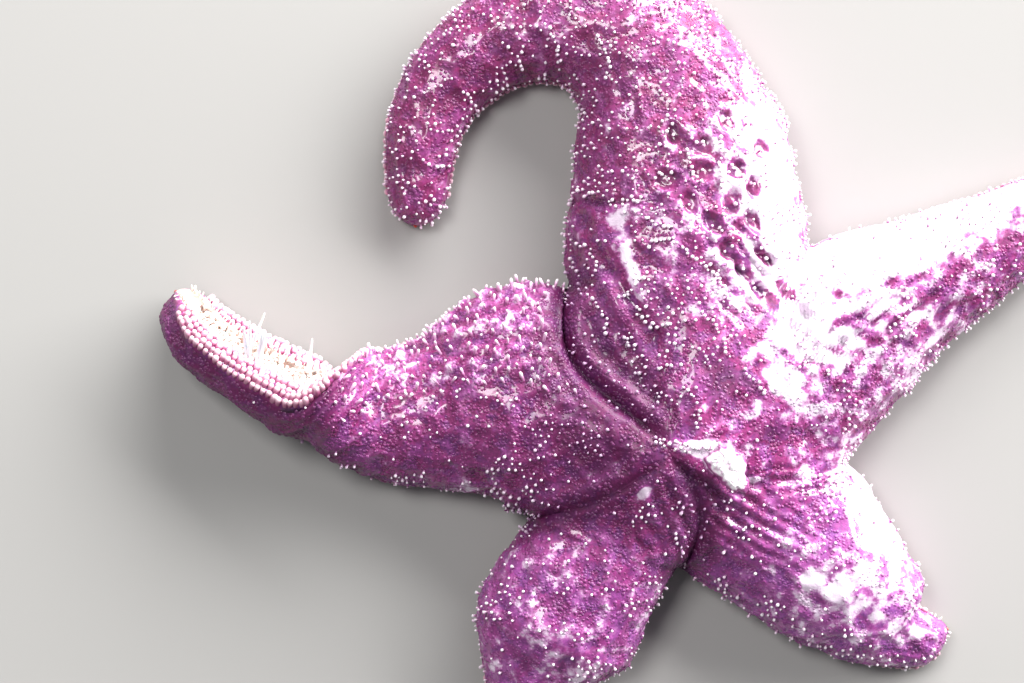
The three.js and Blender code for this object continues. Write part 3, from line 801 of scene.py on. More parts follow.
# Rows of beads that stand out on the back, in the plan's millimetres
beadRows = [
    [(-26.3, 61.5), (-24.3, 63.2), (-21.9, 63.9), (-18.4, 63.9), (-16.5, 63.2), (-13.5, 62.2),
     (-10.1, 61.6), (-6.7, 60.7)],
    [(-3.8, 67.6), (-1.8, 68.9), (0.6, 68.9)],
    [(-4.5, 50.3), (-2.6, 52), (1.1, 52), (4.9, 48.3), (8, 45.9), (11.7, 42.2), (15.3, 36.8), (17.8, 34.3)],
    [(-8.2, 19.2), (-5.5, 20.9), (-2.6, 21.1), (0.6, 21.1), (3.1, 21.4)],
    [(-5.7, 43.6), (-7.2, 41.2), (-10.6, 38.3), (-12.1, 37.3)],
    [(3.6, 16.2), (6.5, 12.3), (7.2, 8.9), (5.8, 5.5)],
    [(-3.2, 3.7), (-0.8, 3.3), (2.1, 2.5), (5.5, 1.8), (8.5, 1.5), (10.9, 1.8)],
    [(-3.3, 2.3), (-0.6, 2), (2.3, 1.2), (5.1, 0.4)],
    [(32, 27), (34.4, 24.1), (37.8, 21.6), (39.3, 18.2)],
    [(-22.3, 51.5), (-19.4, 50), (-17.5, 46.6), (-17.9, 42.7)],
    [(12.5, 76.6), (13.6, 73.4), (12.6, 70.2), (13.2, 66.8), (13.6, 63)],
    [(4.6, 73.6), (5.6, 70.8), (5.2, 67.6), (8, 65)],
    [(-6, 57.6), (-3.6, 55.8), (-0.8, 54.6), (1.6, 54.8)],
    [(-8, 33), (-4, 31.2), (0.4, 31), (4, 32.4)],
    [(-12, 29), (-9.4, 26.4), (-7.6, 23)],
    [(8, 34), (11, 31.2), (13, 27.6), (13.8, 23.6)],
    [(-20, 38.6), (-17, 36), (-15.2, 32.4), (-14.8, 28.6)],
    [(2, 27), (5.4, 26), (8.6, 24), (10.4, 21)],
    [(-24, 47), (-22.2, 44), (-22, 40.6)],
    [(18, 20), (21, 17.4), (23, 14)],
    [(-57, 62), (-54, 60.4), (-51.6, 61)],
    [(-60, 72), (-56.4, 70.6), (-53, 71.4)],
    [(-50, 89), (-47, 86), (-45.4, 82.4)],
    [(-40, 101), (-37, 98), (-35.4, 94)],
    [(-29, 104), (-26.6, 100), (-25.6, 96)],
    [(-17, 102), (-15, 98.4), (-14.4, 94.6)],
]


def spineWeight(isTop):
    # chance of a spine: the ridges' top lines, in clumps, fewer where the skin is sunk, where it carries
    # painted shade and where it is rolled over, none in the pits and about the sieve plate
    bare = np.array(spine["bare"])[skin["arm"]]
    clump = smooth(softNoise(skin["calm"], spine["clump"], 131), bare - 0.12, bare + 0.12) + 0.02
    toPlate = np.hypot(skin["calm"][:, 0] - madreporite["x"], skin["calm"][:, 1] - madreporite["y"])
    rolled = (skin["arm"] == leftArm) * smooth(skin["along"] / arms[leftArm]["length"], 0.52, 0.6)
    sunk = smooth(skin["relief"], -0.9, -0.1)
    lit = 1 - spine["dimmed"] * smooth(-skin["stain"], 0.4, 1.1)
    weight = skin["line"] * clump * isTop * sunk * lit * ~inCraters(skin["calm"])
    return weight * ~(toPlate < spine["plateGap"]) * (1 - 0.9 * rolled) + 1e-9


def makeSpines():
    # the rows of beads and the pits' beads first, then loose spines where they are spaced from both
    isTop = (skin["top"] > 0.9) & (skin["calm"][:, 2] > 3.5)
    rows = [alongLine(row, spine["rowSpacing"]) for row in beadRows]
    rows = nearest(np.concatenate(rows + [np.array(craters)[:, :2]]), "calm", isTop)
    loose = scatter(spineWeight(isTop), spine["candidates"], 201)
    rows["inRow"], loose["inRow"] = np.ones(len(rows["arm"]), bool), np.zeros(len(loose["arm"]), bool)
    loose = spaced(joined([rows, loose]), spine["apart"])
    place = spaced(joined([rows, chosen(loose, ~loose["inRow"])]), spine["rowApart"])
    knobbed = (place["arm"] == leftArm) & (place["across"] < -8) & (place["calm"][:, 0] < -22)
    place = chosen(place, ~knobbed)
    rng = np.random.default_rng(202)
    grow = 1 + spine["spread"] * rng.normal(size=len(place["points"])).clip(-1.6, 1.8)
    grow = grow + spine["rowGrow"] * place["inRow"]
    lean = rng.normal(size=(len(grow), 3)) * spine["lean"]
    return plant("aboral_spines", spine, place, spine["width"] * grow, spine["height"] * grow, lean)


# Long blunt spines: the knobbed side of the left arm, and a fringe along every arm's margin
longSpine = {
    "sides": 7, "top": 1.0,
    "rings": [(1.0, -0.25, 0), (0.86, 0.25, 0.25), (1.0, 0.62, 0.75), (0.82, 0.88, 1)],
    "candidates": 5000, "apart": 2.35, "width": 0.4, "height": 2.1,
    "fringeColumns": (2.4, 6.5), "fringeSpacing": (6.5, 3.8, 6, 6, 7), "fringe": 0.38, "lean": 0.4,
    "knobLean": (-0.1, 0.9, 0.1), "fringeLean": (0, 0, 0.25),
    "collar": [(-2.4, 3.4), (0, 3), (3, 2.2), (6.5, 1.4), (9.5, 1.1), (12, 1.3)],
}


def knobPlaces():
    # scattered over the left arm's far side, from 4 to 9 mm across it and up to where it rolls over
    share = skin["along"] / arms[leftArm]["length"]
    weight = (skin["top"] > 0.9) & (skin["arm"] == leftArm)
    weight = weight * smooth(-skin["across"], 4, 9) * smooth(share, 0.1, 0.2)
    weight = weight * (1 - smooth(share, 0.55, 0.62)) + 1e-9
    weight = weight * (1 - smooth(skin["inFurrow"], 0, 0.1))
    return spaced(scatter(weight, longSpine["candidates"], 211), longSpine["apart"])


def fringePlaces():
    # two lines along both margins of every arm, thinned out to one in nine where the left arm rolls
    last = star["domeSteps"]
    fringe = joined([alongGrid(index, True, column if side else last - column,
                               longSpine["fringeSpacing"][index], arm["neck"] * 0.97, 0.985,
                               221 + 7 * index + side + 2 * place, 0.48)
                     for index, arm in enumerate(arms) for side in (0, 1)
                     for place, column in enumerate(longSpine["fringeColumns"])])
    rolled = (fringe["arm"] == leftArm) & (fringe["along"] > 0.58 * arms[leftArm]["length"])
    return chosen(fringe, ~rolled | (np.arange(len(rolled)) % 9 == 0))


def makeLongSpines():
    # tall on the knobs, short in the collar beside the sieve plate and in the fringe
    knobs, fringe = knobPlaces(), fringePlaces()
    collar = nearest(alongLine(longSpine["collar"], 1.3), "calm", skin["top"] > 0.9)
    place = joined([knobs, collar, fringe])
    rng = np.random.default_rng(212)
    isKnob = np.arange(len(place["points"])) < len(knobs["points"])
    lean = rng.normal(size=(len(isKnob), 3)) * longSpine["lean"]
    lean = lean + np.where(isKnob[:, None], longSpine["knobLean"], longSpine["fringeLean"])
    grow = rng.uniform(0.7, 1.2, len(isKnob)) * np.where(isKnob, 1, 0.75)
    height = np.where(isKnob, rng.uniform(0.6, 1.15, len(isKnob)), longSpine["fringe"])
    height = longSpine["height"] * grow * height
    return plant("long_spines", longSpine, place, longSpine["width"] * grow, height, lean)


def floorRows(form, starts, end, seed, seedStep, wobble=0.2):
    # a row of places for each of the form's columns, on both sides of every arm's floor
    last = star["floorSteps"]
    return joined([alongGrid(index, False, column if side else last - column, form["spacing"],
                             starts(arm, order), end, seed + seedStep * index + side + 2 * order, wobble)
                   for index, arm in enumerate(arms) for side in (0, 1)
                   for order, column in enumerate(form["columns"])])


# Blunt tiles in close rows from the margin to the groove, on the side of the mouth
bead = {
    "sides": 7, "top": 0.92,
    "rings": [(0.95, -0.4, 0), (1.04, 0.2, 0.3), (0.92, 0.6, 0.85), (0.55, 0.85, 1)],
    "width": 0.82, "height": 1.15, "columns": (0.7, 2.0, 3.3, 4.7, 6.1, 7.5), "spacing": 1.6, "apart": 1.2,
    "lean": 0.12, "grow": (0.82, 1.12), "rolledHeight": 1.45, "rolledLean": (0.45, 0.7, 0),
}


def makeBeads():
    # each row starts a little farther out than the one outside it; the rolled arm's tiles stand taller
    rows = floorRows(bead, lambda arm, order: arm["neck"] * (0.3 + 0.1 * order), 0.955, 241, 11, 0.12)
    rows = spaced(rows, bead["apart"])
    rng = np.random.default_rng(242)
    isRolled = rows["arm"] == leftArm
    grow = rng.uniform(*bead["grow"], len(isRolled)) * np.where(isRolled, 1.05, 1)
    height = bead["height"] * grow * np.where(isRolled, bead["rolledHeight"], 1)
    lean = rng.normal(size=(len(grow), 3)) * bead["lean"]
    lean = lean + np.where(isRolled[:, None], bead["rolledLean"], 0)
    return plant("oral_beads", bead, rows, bead["width"] * grow, height, lean)


# Thin spines that lean over both edges of the groove
grooveSpine = {
    "sides": 5, "top": 1.0, "rings": [(1.0, -0.2, 0.3), (0.9, 0.4, 0.8), (0.75, 0.85, 1)],
    "width": 0.24, "height": 1.9, "columns": (9.2, 9.9), "spacing": 1.15, "lean": 0.2,
}


def makeGrooveSpines():
    # two rows on each side of every groove
    rows = floorRows(grooveSpine, lambda arm, order: 0.09, 0.985, 261, 13)
    lean = np.random.default_rng(262).normal(size=(len(rows["points"]), 3)) * grooveSpine["lean"]
    return plant("groove_spines", grooveSpine, rows, grooveSpine["width"], grooveSpine["height"], lean)


# Tube feet: soft cream stalks that end in a small sucker; a few reach out of the rolled arm's groove
tubeFoot = {
    "sides": 8, "top": 1.0,
    "rings": [(1.0, -0.12, 0.4), (0.8, 0.3, 0.6), (0.7, 0.75, 0.8), (0.85, 0.9, 0.9), (1.35, 0.96, 1),
              (1.0, 1.02, 1)],
    "width": 0.56, "height": 2.6, "columns": (10.8, 12.2, 13.8, 15.4), "spacing": 1.15, "pieces": 2,
    "lean": 0.3, "grow": (0.75, 1.25),
    "reachingRings": [(1.5, -0.12, 0.3), (1.1, 0.22, 0.7), (0.8, 0.6, 0.9), (0.55, 0.92, 1)],
    "reachingWidth": 0.5,
    # foot and end of each reaching one in plan, and how far it rises
    "reaching": [(-103, 24, -104, 30.8, 4), (-102.2, 24, -102, 32.2, 5), (-101.8, 26, -98.2, 34.2, 5),
                 (-98.8, 24.5, -98.5, 29.8, 4), (-99.6, 24.5, -99.2, 29.8, 3.5), (-87, 24, -87.3, 28, 3)],
}


def makeTubeFeet():
    # four rows in every groove, shared out over the pieces, each foot with its own lean and length
    rows = floorRows(tubeFoot, lambda arm, order: 0.1, 0.95, 281, 17, 0.3)
    rng = np.random.default_rng(282)
    lean = rng.normal(size=(len(rows["points"]), 3)) * tubeFoot["lean"]
    grow = rng.uniform(*tubeFoot["grow"], len(rows["points"]))
    short = []
    for turn in range(tubeFoot["pieces"]):
        mine = np.arange(len(grow)) % tubeFoot["pieces"] == turn
        short.append(plant("tube_feet_%d" % (turn + 1), tubeFoot, chosen(rows, mine),
                           tubeFoot["width"] * grow[mine], tubeFoot["height"] * grow[mine], lean[mine]))
    return short, makeReachingFeet(rng)


def makeReachingFeet(rng):
    # each from the point of the rolled groove nearest its foot to its end, a little curved
    reach = np.array(tubeFoot["reaching"])
    inGroove = (skin["top"] < 0.4) & (skin["arm"] == leftArm) & (skin["posed"][:, 2] > 12)
    roots = nearest(reach[:, :2], "points", inGroove)
    aim = np.concatenate([reach[:, 2:4], roots["points"][:, 2:] + reach[:, 4:]], 1) - roots["points"]
    length = np.linalg.norm(aim, axis=1)
    lean = aim / length[:, None] * 30    # so large that the skin's own direction doesn't count
    bend = np.stack([rng.uniform(-0.5, 0.5, len(reach)), np.zeros(len(reach)), np.full(len(reach), 0.4)], 1)
    form = {**tubeFoot, "rings": tubeFoot["reachingRings"]}
    return plant("reaching_tube_feet", form, roots, tubeFoot["reachingWidth"], length, lean, bend)


# Papulae and pedicellariae: tiny soft knobs that fill the skin between the ridges
papula = {
    "sides": 5, "top": 1.0, "rings": [(1.0, -0.5, 0), (0.82, 0.55, 0.7)],
    "width": 0.46, "height": 0.15, "grow": (0.6, 1.35), "count": 12800, "pieces": 2,
}


def makePapulae():
    # fewer on the ridges and in the furrows, hardly any where the skin carries painted highlight, none in
    # the pits
    isTop = (skin["top"] > 0.9) & (skin["calm"][:, 2] > 1.5)
    pale = 1 - 0.93 * smooth(skin["stain"], 0.2, 0.55)
    weight = isTop * (1 - 0.7 * skin["ridge"]) * ~inCraters(skin["calm"]) * pale
    weight = weight * (1 - 0.4 * skin["inFurrow"]) + 1e-9
    pieces = []
    for turn in range(papula["pieces"]):
        place = scatter(weight, papula["count"], 301 + turn)
        grow = np.random.default_rng(311 + turn).uniform(*papula["grow"], papula["count"])
        pieces.append(plant("papulae_%d" % (turn + 1), papula, place, papula["width"] * grow,
                            papula["height"] * grow, seed=321 + turn))
    return pieces


# Madreporite: an oval sieve plate, its low dome cut by fine winding grooves
madreporite = {
    "x": 14.5, "y": -3.5, "base": 30.2, "halfLong": 6.3, "halfWide": 4.1, "turn": 38, "rise": 1.8,
    "wander": 0.13,
    "rings": 34, "sides": 130, "groove": 0.2, "grooveSize": 0.9, "spot": (0.4, 0.5), "spotSize": 0.36,
}


# waves round the plate's outline, their share of its wander and where they start
outlineWaves = [(3, 1.0, 0.7), (5, 0.6, 2), (11, 0.28, 1), (17, 0.22, 0)]


def makePlate(name, shape, profile, wander=0.0, down=False):
    # rings of points from the plate's middle out to its rim, then back in on its hidden side
    rings, sides, base = shape["rings"], shape["sides"], shape["base"]
    share = np.concatenate([np.arange(1, rings + 1) / rings, [0.9, 0.5]])
    angle = 2 * pi * np.arange(sides) / sides
    outline = 1 + sum(wander * part * np.sin(waves * angle + start) for waves, part, start in outlineWaves)
    x = shape["halfWide"] * share[:, None] * np.cos(angle) * outline
    y = shape["halfLong"] * share[:, None] * np.sin(angle) * outline
    turn = radians(shape["turn"])
    plan = np.stack([x * np.cos(turn) - y * np.sin(turn), x * np.sin(turn) + y * np.cos(turn)], -1)
    plan = np.concatenate([plan.reshape(-1, 2), [[0, 0], [0, 0]]]) + [shape["x"], shape["y"]]
    reach = np.append(np.repeat(share, sides), [0, 0])
    isFace = np.append(np.repeat(np.arange(rings + 2) < rings, sides), [True, False])
    height, tone = profile(plan, reach)
    z = np.where(isFace, height, -0.5) * (-1 if down else 1) + base
    points = np.concatenate([plan, z[:, None]], 1)
    corners = gridTriangles(rings + 2, sides + 1, 0)
    k = np.arange(sides)
    after = (k + 1) % sides
    back = (rings + 1) * sides
    triangles = np.concatenate([
        corners // (sides + 1) * sides + corners % (sides + 1) % sides,
        np.stack([np.full(sides, len(points) - 2), k, after], 1),
        np.stack([np.full(sides, len(points) - 1), back + after, back + k], 1)])
    # on the bake square the face is a round patch, its back a ring about it and a small patch beside it
    spot, size = np.array(shape["spot"]), shape["spotSize"]
    span = np.append(np.repeat(np.append(share[:rings] * 0.8, [0.9, 1.0]), sides), [0, 0])
    ray = np.tile(np.stack([np.cos(angle), np.sin(angle)], -1), (rings + 2, 1))
    ray = np.append(ray, [[0, 0], [0, 0]], 0)
    spots = (spot + ray * span[:, None] * size)[triangles]
    spots[-sides:] = spot + size * ([1.3, 0] + 0.25 * ray[triangles[-sides:]])
    if down:
        triangles, spots = triangles[:, ::-1], spots[:, ::-1]
    print(name + ":", len(triangles), "triangles")
    return makeMesh(name, points, triangles, spots, {"tone": tone, "shade": np.full(len(points), 0.5)})


def madreporiteFace(flat, reach):
    # a lumpy dome (1 - r^3)^0.6, with grooves where slow noise crosses its middle value; the skin creeps
    # over its rim in a ragged line
    place = np.concatenate([flat, np.zeros((len(flat), 1))], 1)
    winding = softNoise(place, madreporite["grooveSize"], 401)
    groove = bell(winding, 0.2) * (1 - smooth(reach, 0.85, 1))
    dome = madreporite["rise"] * np.maximum(0, 1 - reach ** 3) ** 0.6
    lumps = 0.5 * softNoise(place, 2.1, 402) + 0.22 * softNoise(place, 1.1, 403)
    bare = 1 - smooth(reach + 0.3 * layeredNoise(place, 1.6, 404), 0.72, 0.95)
    height = dome - madreporite["groove"] * groove + lumps * smooth(1 - reach, 0, 0.3)
    return height, bare * (1 - 0.6 * groove)


# Mouth: a soft ring of membrane, its middle painted dark as shade for the opening, folded toward the five
# jaws
mouthForm = {
    "x": 0, "y": 0, "base": 3.6, "halfLong": 6.3, "halfWide": 6.3, "turn": 0, "rings": 16, "sides": 80,
    "spot": (0.4, 0.5), "spotSize": 0.36,
    "spines": 40, "spineRing": 6.1, "spineBase": 3.4, "spineWidth": 0.3, "spineHeight": 2.3,
}


def mouthFace(flat, reach):
    # stands out between rim and opening, with ten radial folds that die out at both
    angle = np.arctan2(flat[:, 1], flat[:, 0])
    swell = 1.5 * smooth(reach, 0.1, 0.6) * np.sqrt(np.maximum(0, 1 - reach ** 4))
    return swell + 0.25 * np.cos(10 * angle) * np.sin(pi * reach), smooth(reach, 0.12, 0.35)


def makeMouthSpines():
    # jaw spines round the mouth's rim, leaning in over the membrane
    count = mouthForm["spines"]
    angle = 2 * pi * np.arange(count) / count
    ray = np.stack([np.cos(angle), np.sin(angle), np.zeros(count)], 1)
    place = {key: np.zeros(count) for key in ("relief", "ridge", "stain", "hue")}
    place.update(points=ray * mouthForm["spineRing"] + [0, 0, mouthForm["spineBase"]],
                 normals=unit(ray * -0.55 - [0, 0, 1]), spot=0.5 + ray[:, :2] * 0.1)
    return plant("mouth_spines", grooveSpine, place, mouthForm["spineWidth"], mouthForm["spineHeight"])


eyespot = {"sides": 8, "top": 1.0, "rings": [(0.8, -0.4, 1), (1.0, 0.1, 1), (0.75, 0.7, 1)],
           "width": 0.55, "height": 0.7}


def makeEyespots():
    # the red eye under each arm's tip, on the skin where dome and floor meet
    tips = [np.flatnonzero(skin["arm"] == index)[np.argmax(skin["along"][skin["arm"] == index])]
            for index in range(len(arms))]
    tips = np.array(tips)[:, None]
    place = gather(tips, np.ones(tips.shape), skin["spot"][tips])
    return plant("eyespots", eyespot, place, eyespot["width"], eyespot["height"])


spines, longSpines = makeSpines(), makeLongSpines()
beads, grooveSpines = makeBeads(), makeGrooveSpines()
shortFeet, longFeet = makeTubeFeet()
papulae = makePapulae()
sieve = makePlate("madreporite_plate", madreporite, madreporiteFace, madreporite["wander"])
mouthPiece = makePlate("mouth_membrane", mouthForm, mouthFace, down=True)
mouthSpines, eyespots = makeMouthSpines(), makeEyespots()


def addNode(tree, kind, settings=None, inputs=None, links=None, stops=None):
    # one shader node: settings are its own values, inputs its sockets' values, links its sockets'
    # sources and stops the places and colours of a ramp
    node = tree.nodes.new("ShaderNode" + kind)
    for name, value in (settings or {}).items():
        setattr(node, name, value)
    for name, value in (inputs or {}).items():
        node.inputs[name].default_value = value
    for name, source in (links or {}).items():
        tree.links.new(source, node.inputs[name])
    for index, (place, colour) in enumerate(stops or []):
        element = node.color_ramp.elements[index] if index < 2 else node.color_ramp.elements.new(place)
        element.position = place
        element.color = hexToLinear(colour)
    return node


def newMaterial(name):
    # an empty material and its node tree
    material = bpy.data.materials.new(name)
    material.use_nodes = True
    material.node_tree.nodes.clear()
    return material, material.node_tree


def finishMaterial(tree, values, links):
    # one principled shader with fixed values and linked sockets, on the surface
    shader = addNode(tree, "BsdfPrincipled", inputs=values, links=links)
    addNode(tree, "OutputMaterial", links={"Surface": shader.outputs["BSDF"]})


# Living epidermis: plum mottles, dull rose on the ridges and grey violet between them, with a fine grain
# of paler cells, as in a purple ochre star; the dark plum in the hollows is painted shade
skinLook = {
    "deep": "#571549", "rose": "#8e286a", "violet": "#6f3074", "pale": "#ad51a2", "mottleSize": 4.2,
    "ridge": "#952d72", "speckSize": 0.7, "wander": 4.0, "oral": "#e0c8bd",
    # thin layers over it: colour, what it follows, where that starts and where it is full, and how much
    "layers": [("#8c2a50", "hue", 0.0, 1.0, 0.3), ("#a05cb4", "hue", 0.0, -1.0, 0.3),    # rosy, lilac
               ("#b35ba6", "relief", 0.3, 2.0, 0.5),                                     # paler on the highest relief: painted highlight
               ("#460f39", "stain", 0.0, -1.0, 0.7),                                     # painted shade
               ("#cf84c2", "ragged", 1.85, 2.3, 0.6), ("#f8e6f7", "ragged", 2.16, 2.56, 0.88),   # painted highlight, lilac then white
               ("#300b2c", "relief", 0.1, -2.2, 0.8)],                                   # painted shade in the hollows and the furrows' cracks
}


def skinColour(tree):
    # mottle of four colours, ridges mixed in, times a fine grain, then the thin layers one by one, among
    # them painted highlight and painted shade
    look = skinLook
    place = addNode(tree, "TexCoord").outputs["Object"]
    relief, ridge, stain, hue = (addNode(tree, "Attribute", {"attribute_name": name}).outputs["Fac"]
                                 for name in ("relief", "ridge", "stain", "hue"))
    mottle = addNode(tree, "TexNoise", links={"Vector": place},
                     inputs={"Scale": 1 / (look["mottleSize"] * mm), "Detail": 5.0, "Roughness": 0.65})
    patches = addNode(tree, "ValToRGB", links={"Fac": mottle.outputs["Fac"]},
                      stops=[(0.3, look["deep"]), (0.68, look["pale"]), (0.46, look["rose"]),
                             (0.55, look["violet"])])
    raised = addNode(tree, "MapRange", inputs={"To Max": 0.4}, links={"Value": ridge})
    onRidge = addNode(tree, "Mix", {"data_type": "RGBA"}, inputs={"B": hexToLinear(look["ridge"])},
                      links={"Factor": raised.outputs["Result"], "A": patches.outputs["Color"]})
    speck = addNode(tree, "TexNoise", inputs={"Scale": 1 / (look["speckSize"] * mm), "Detail": 2.0},
                    links={"Vector": place})
    grain = addNode(tree, "MapRange", links={"Value": speck.outputs["Fac"]},
                    inputs={"From Min": 0.32, "From Max": 0.7, "To Min": 0.7, "To Max": 1.32})
    velvet = addNode(tree, "VectorMath", {"operation": "SCALE"},
                     links={0: onRidge.outputs["Result"], "Scale": grain.outputs["Result"]})
    colour = velvet.outputs["Vector"]
    # the painted highlight breaks up into islands: 3.4 noise + painted light and shade + 0.3 relief, cut
    # off in a narrow band
    wander = addNode(tree, "TexNoise", links={"Vector": place},
                     inputs={"Scale": 1 / (look["wander"] * mm), "Detail": 4.0, "Roughness": 0.6})
    ragged = addNode(tree, "Math", {"operation": "MULTIPLY_ADD"}, inputs={1: 3.4},
                     links={0: wander.outputs["Fac"], 2: stain})
    ragged = addNode(tree, "Math", {"operation": "MULTIPLY_ADD"}, inputs={1: 0.3},
                     links={0: relief, 2: ragged.outputs["Value"]})
    follows = {"hue": hue, "relief": relief, "stain": stain, "ragged": ragged.outputs["Value"]}
    for layer, key, start, full, most in look["layers"]:
        amount = addNode(tree, "MapRange", inputs={"From Min": start, "From Max": full, "To Max": most},
                         links={"Value": follows[key]})
        colour = addNode(tree, "Mix", {"data_type": "RGBA"}, inputs={"B": hexToLinear(layer)},
                         links={"Factor": amount.outputs["Result"], "A": colour}).outputs["Result"]
    return colour, place


def skinMaterial():
    # the same epidermis on both sides, cream about the groove, under a film of sea water that is
    # thinnest where the painted shade is darkest
    material, tree = newMaterial("wet epidermis")
    colour, place = skinColour(tree)
    oral = addNode(tree, "Attribute", {"attribute_name": "oral"}).outputs["Fac"]
    under = addNode(tree, "Mix", {"data_type": "RGBA"}, inputs={"B": hexToLinear(skinLook["oral"])},
                    links={"Factor": oral, "A": colour})
    fine = addNode(tree, "TexNoise", links={"Vector": place},
                   inputs={"Scale": 1 / (0.9 * mm), "Detail": 4.0, "Roughness": 0.65})
    bump = addNode(tree, "Bump", inputs={"Strength": 0.5, "Distance": 0.35 * mm},
                   links={"Height": fine.outputs["Fac"]})
    stain = addNode(tree, "Attribute", {"attribute_name": "stain"}).outputs["Fac"]
    film = addNode(tree, "MapRange", inputs={"From Min": -1.3, "From Max": -0.1, "To Min": 0.08},
                   links={"Value": stain})
    finishMaterial(tree, {"IOR": 1.4, "Roughness": 0.5, "Coat Roughness": 0.15, "Coat IOR": 1.56},
                   {"Base Color": under.outputs["Result"], "Normal": bump.outputs["Normal"],
                    "Coat Weight": film.outputs["Result"]})
    return material


def papulaMaterial():
    # soft breathing knobs: the skin's colour with its painted light and shade, each a little paler or
    # greyer, wet
    material, tree = newMaterial("wet papulae")
    colour = skinColour(tree)[0]
    shade = addNode(tree, "Attribute", {"attribute_name": "shade"}).outputs["Fac"]
    pick = addNode(tree, "ValToRGB", links={"Fac": shade},
                   stops=[(0.0, "#571c4c"), (1.0, "#a85c9c"), (0.55, "#823674")])
    mixed = addNode(tree, "Mix", {"data_type": "RGBA"}, inputs={"Factor": 0.26},
                    links={"A": colour, "B": pick.outputs["Color"]})
    values = {"IOR": 1.4, "Roughness": 0.5, "Coat Weight": 0.5, "Coat Roughness": 0.25, "Coat IOR": 1.5}
    finishMaterial(tree, values, {"Base Color": mixed.outputs["Result"]})
    return material


def pegMaterial(name, root, stalk, head, tinted, shaded=None, soft=False):
    # a thin wet skin over calcite: from the root's colour to a pale head, some heads more tinted than
    # others, and all of them nearer the shaded colour where the skin's painted shade is dark: painted shade
    # on the pegs
    material, tree = newMaterial(name)
    tone, shade = (addNode(tree, "Attribute", {"attribute_name": key}).outputs["Fac"]
                   for key in ("tone", "shade"))
    climb = addNode(tree, "ValToRGB", links={"Fac": tone}, stops=[(0.0, root), (1.0, head), (0.45, stalk)])
    tint = addNode(tree, "MapRange", inputs={"From Min": 0.55, "To Max": 0.6}, links={"Value": shade})
    mixed = addNode(tree, "Mix", {"data_type": "RGBA"}, inputs={"B": hexToLinear(tinted)},
                    links={"Factor": tint.outputs["Result"], "A": climb.outputs["Color"]})
    if shaded:
        stain = addNode(tree, "Attribute", {"attribute_name": "stain"}).outputs["Fac"]
        dim = addNode(tree, "MapRange", inputs={"From Min": 0.0, "From Max": -1.2, "To Max": 0.8},
                      links={"Value": stain})
        mixed = addNode(tree, "Mix", {"data_type": "RGBA"}, inputs={"B": hexToLinear(shaded)},
                        links={"Factor": dim.outputs["Result"], "A": mixed.outputs["Result"]})
    values = {"Roughness": 0.35, "Coat Weight": 0.6, "Coat Roughness": 0.15}
    if soft:
        values.update({"Subsurface Weight": 0.3, "Subsurface Radius": (0.8 * mm, 0.4 * mm, 0.3 * mm)})
    finishMaterial(tree, values, {"Base Color": mixed.outputs["Result"]})
    return material


# Root, stalk, head and tinted head of each kind of peg, for the white heads also a colour of painted shade,
# all of them glossy as they are wet
whiteHeads = ("#7d3a68", "#c58fb9", "#fbf3f8", "#e3b9d6", "#b07fae")    # chalk white, greyer with painted shade where the skin is painted dark
bluntSpines = ("#a04584", "#e0acd0", "#fbf0f6", "#e3b6d6")              # pink roots, white ends
tiles = ("#7e2657", "#b9698f", "#e6c6cf", "#cf93ab")                    # dull pink, paler on top
ivory = ("#d9b6a4", "#ecd6c6", "#fbf1e8", "#ecd2c4")                    # cream to ivory
softCream = ("#d4b8ae", "#e0cac1", "#ecddd6", "#e2c8c1")                # translucent flesh
clearWhite = ("#e4dcd6", "#e9ebee", "#f0f4f8", "#e6ecf2")               # stretched, glassy white
chalk = ("#9c4a86", "#e3c4da", "#fffcfd", "#fbf4f8")                    # white stone, skin on its rim
membrane = ("#3a2430", "#c69a90", "#dcbcae", "#d9b3a6")                 # flesh, dark in the middle as painted shade for the opening
eyeRed = ("#8c1f1c", "#a82a20", "#b83526", "#a82a20")                   # orange red pigment

# piece, its material and the record's slot for it
dress = [
    (skinPiece, skinMaterial(), "skin"),
    *[(piece, papulaMaterial(), "skin") for piece in papulae],
    (spines, pegMaterial("white spine heads", *whiteHeads), "plate"),
    (longSpines, pegMaterial("pink-white blunt spines", *bluntSpines), "plate"),
    (beads, pegMaterial("marginal tiles", *tiles), "plate"),
    (grooveSpines, pegMaterial("groove spines", *ivory), "plate"),
    *[(piece, pegMaterial("tube feet", *softCream, soft=True), "membrane") for piece in shortFeet],
    (longFeet, pegMaterial("reaching tube feet", *clearWhite, soft=True), "membrane"),
    (sieve, pegMaterial("chalky sieve plate", *chalk), "plate"),
    (mouthPiece, pegMaterial("mouth membrane", *membrane), "membrane"),
    (mouthSpines, pegMaterial("jaw spines", *ivory), "plate"),
    (eyespots, pegMaterial("red eyespots", *eyeRed), "membrane"),
]
for piece, material, slot in dress:
    piece.data.materials.append(material)
    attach(piece, "root")
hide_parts(*[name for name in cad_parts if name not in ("mouth", "madreporite")])
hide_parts("madreporite")
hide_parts("mouth")


# The camera's frame, the floor, and the light of a wide low window and a small skylight
studio = {
    "pixels": (1024, 683), "pixelSize": 0.25,      # frame, and millimetres to a pixel at referenceHeight
    "centrePixel": (664, 450), "referenceHeight": 10, "lens": 85.0,
    "floor": "#a3a19e", "skyStrength": 0.22, "sky": "#e6eaf2",
    # name, watts, size in metres, azimuth and height in degrees, distance
    "lights": [("window", 140.0, (2.7, 0.9), (50, 21), 1.6),
               ("skylight", 6.0, (0.35, 0.35), (140, 62), 1.0)],
}


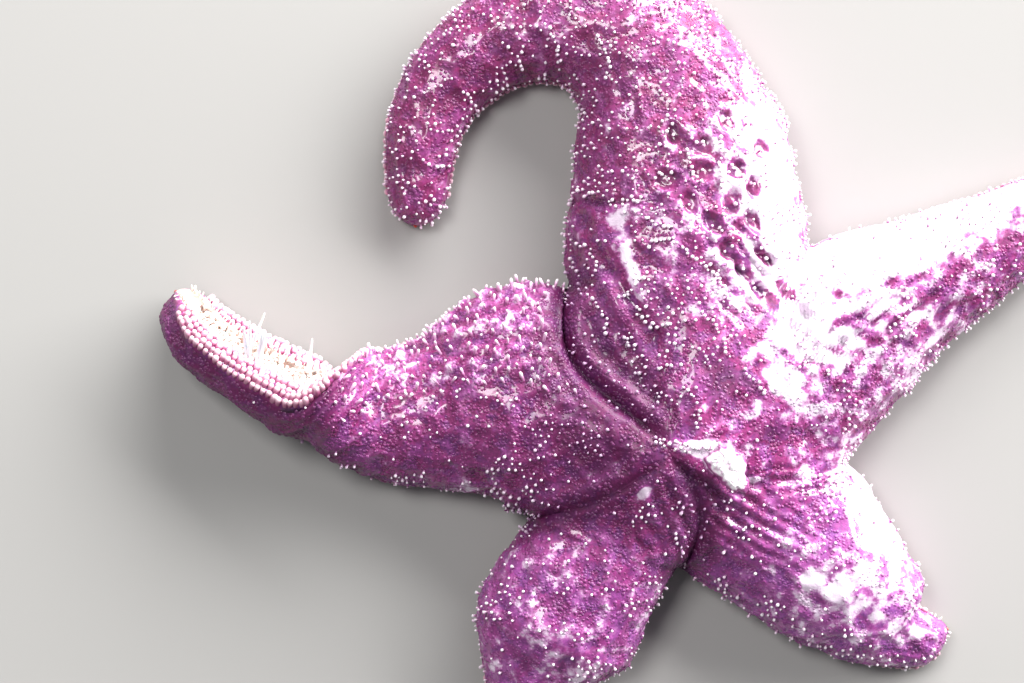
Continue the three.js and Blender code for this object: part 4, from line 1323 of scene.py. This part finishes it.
def placeCamera():
    # straight above the middle of the frame, far enough that the width holds pixels x pixelSize
    width, height = studio["pixels"]
    span = width * studio["pixelSize"] * mm
    camera = bpy.data.cameras.new("camera")
    camera.lens = studio["lens"]
    camera.sensor_width = 36
    camera.clip_start = 0.01
    holder = bpy.data.objects.new("camera", camera)
    bpy.context.scene.collection.objects.link(holder)
    x = (width / 2 - studio["centrePixel"][0]) * studio["pixelSize"] * mm
    y = (studio["centrePixel"][1] - height / 2) * studio["pixelSize"] * mm
    holder.location = (x, y, span * camera.lens / camera.sensor_width + studio["referenceHeight"] * mm)
    bpy.context.scene.camera = holder


def placeLights():
    # area lights on a sphere about the star, each turned to its middle, under an even sky
    world = bpy.data.worlds.new("studio sky")
    world.use_nodes = True
    back = world.node_tree.nodes["Background"]
    back.inputs["Color"].default_value = hexToLinear(studio["sky"])
    back.inputs["Strength"].default_value = studio["skyStrength"]
    bpy.context.scene.world = world
    for name, energy, size, (turn, rise), distance in studio["lights"]:
        light = bpy.data.lights.new(name, "AREA")
        light.shape = "RECTANGLE"
        light.energy = energy
        light.size, light.size_y = size
        holder = bpy.data.objects.new(name, light)
        holder.visible_camera = False
        bpy.context.scene.collection.objects.link(holder)
        turn, rise = radians(turn), radians(rise)
        out = np.array([np.cos(turn) * np.cos(rise), np.sin(turn) * np.cos(rise), np.sin(rise)])
        holder.location = out * distance
        holder.rotation_euler = (pi / 2 - rise, 0, turn + pi / 2)


def placeFloor():
    # a disc of floor wide enough for every view
    angle = 2 * pi * np.arange(64) / 64
    rim = np.stack([9000 * np.cos(angle), 9000 * np.sin(angle), np.zeros(64)], 1)
    k = np.arange(64)
    triangles = np.stack([np.zeros(64, int), 1 + k, 1 + (k + 1) % 64], 1)
    floor = makeMesh("floor", np.vstack([[0, 0, 0], rim]), triangles)
    material, tree = newMaterial("pale matt board")
    finishMaterial(tree, {"Base Color": hexToLinear(studio["floor"]), "Roughness": 0.85}, {})
    floor.data.materials.append(material)


placeCamera()
placeLights()
placeFloor()
bpy.context.scene.view_settings.view_transform = "Standard"
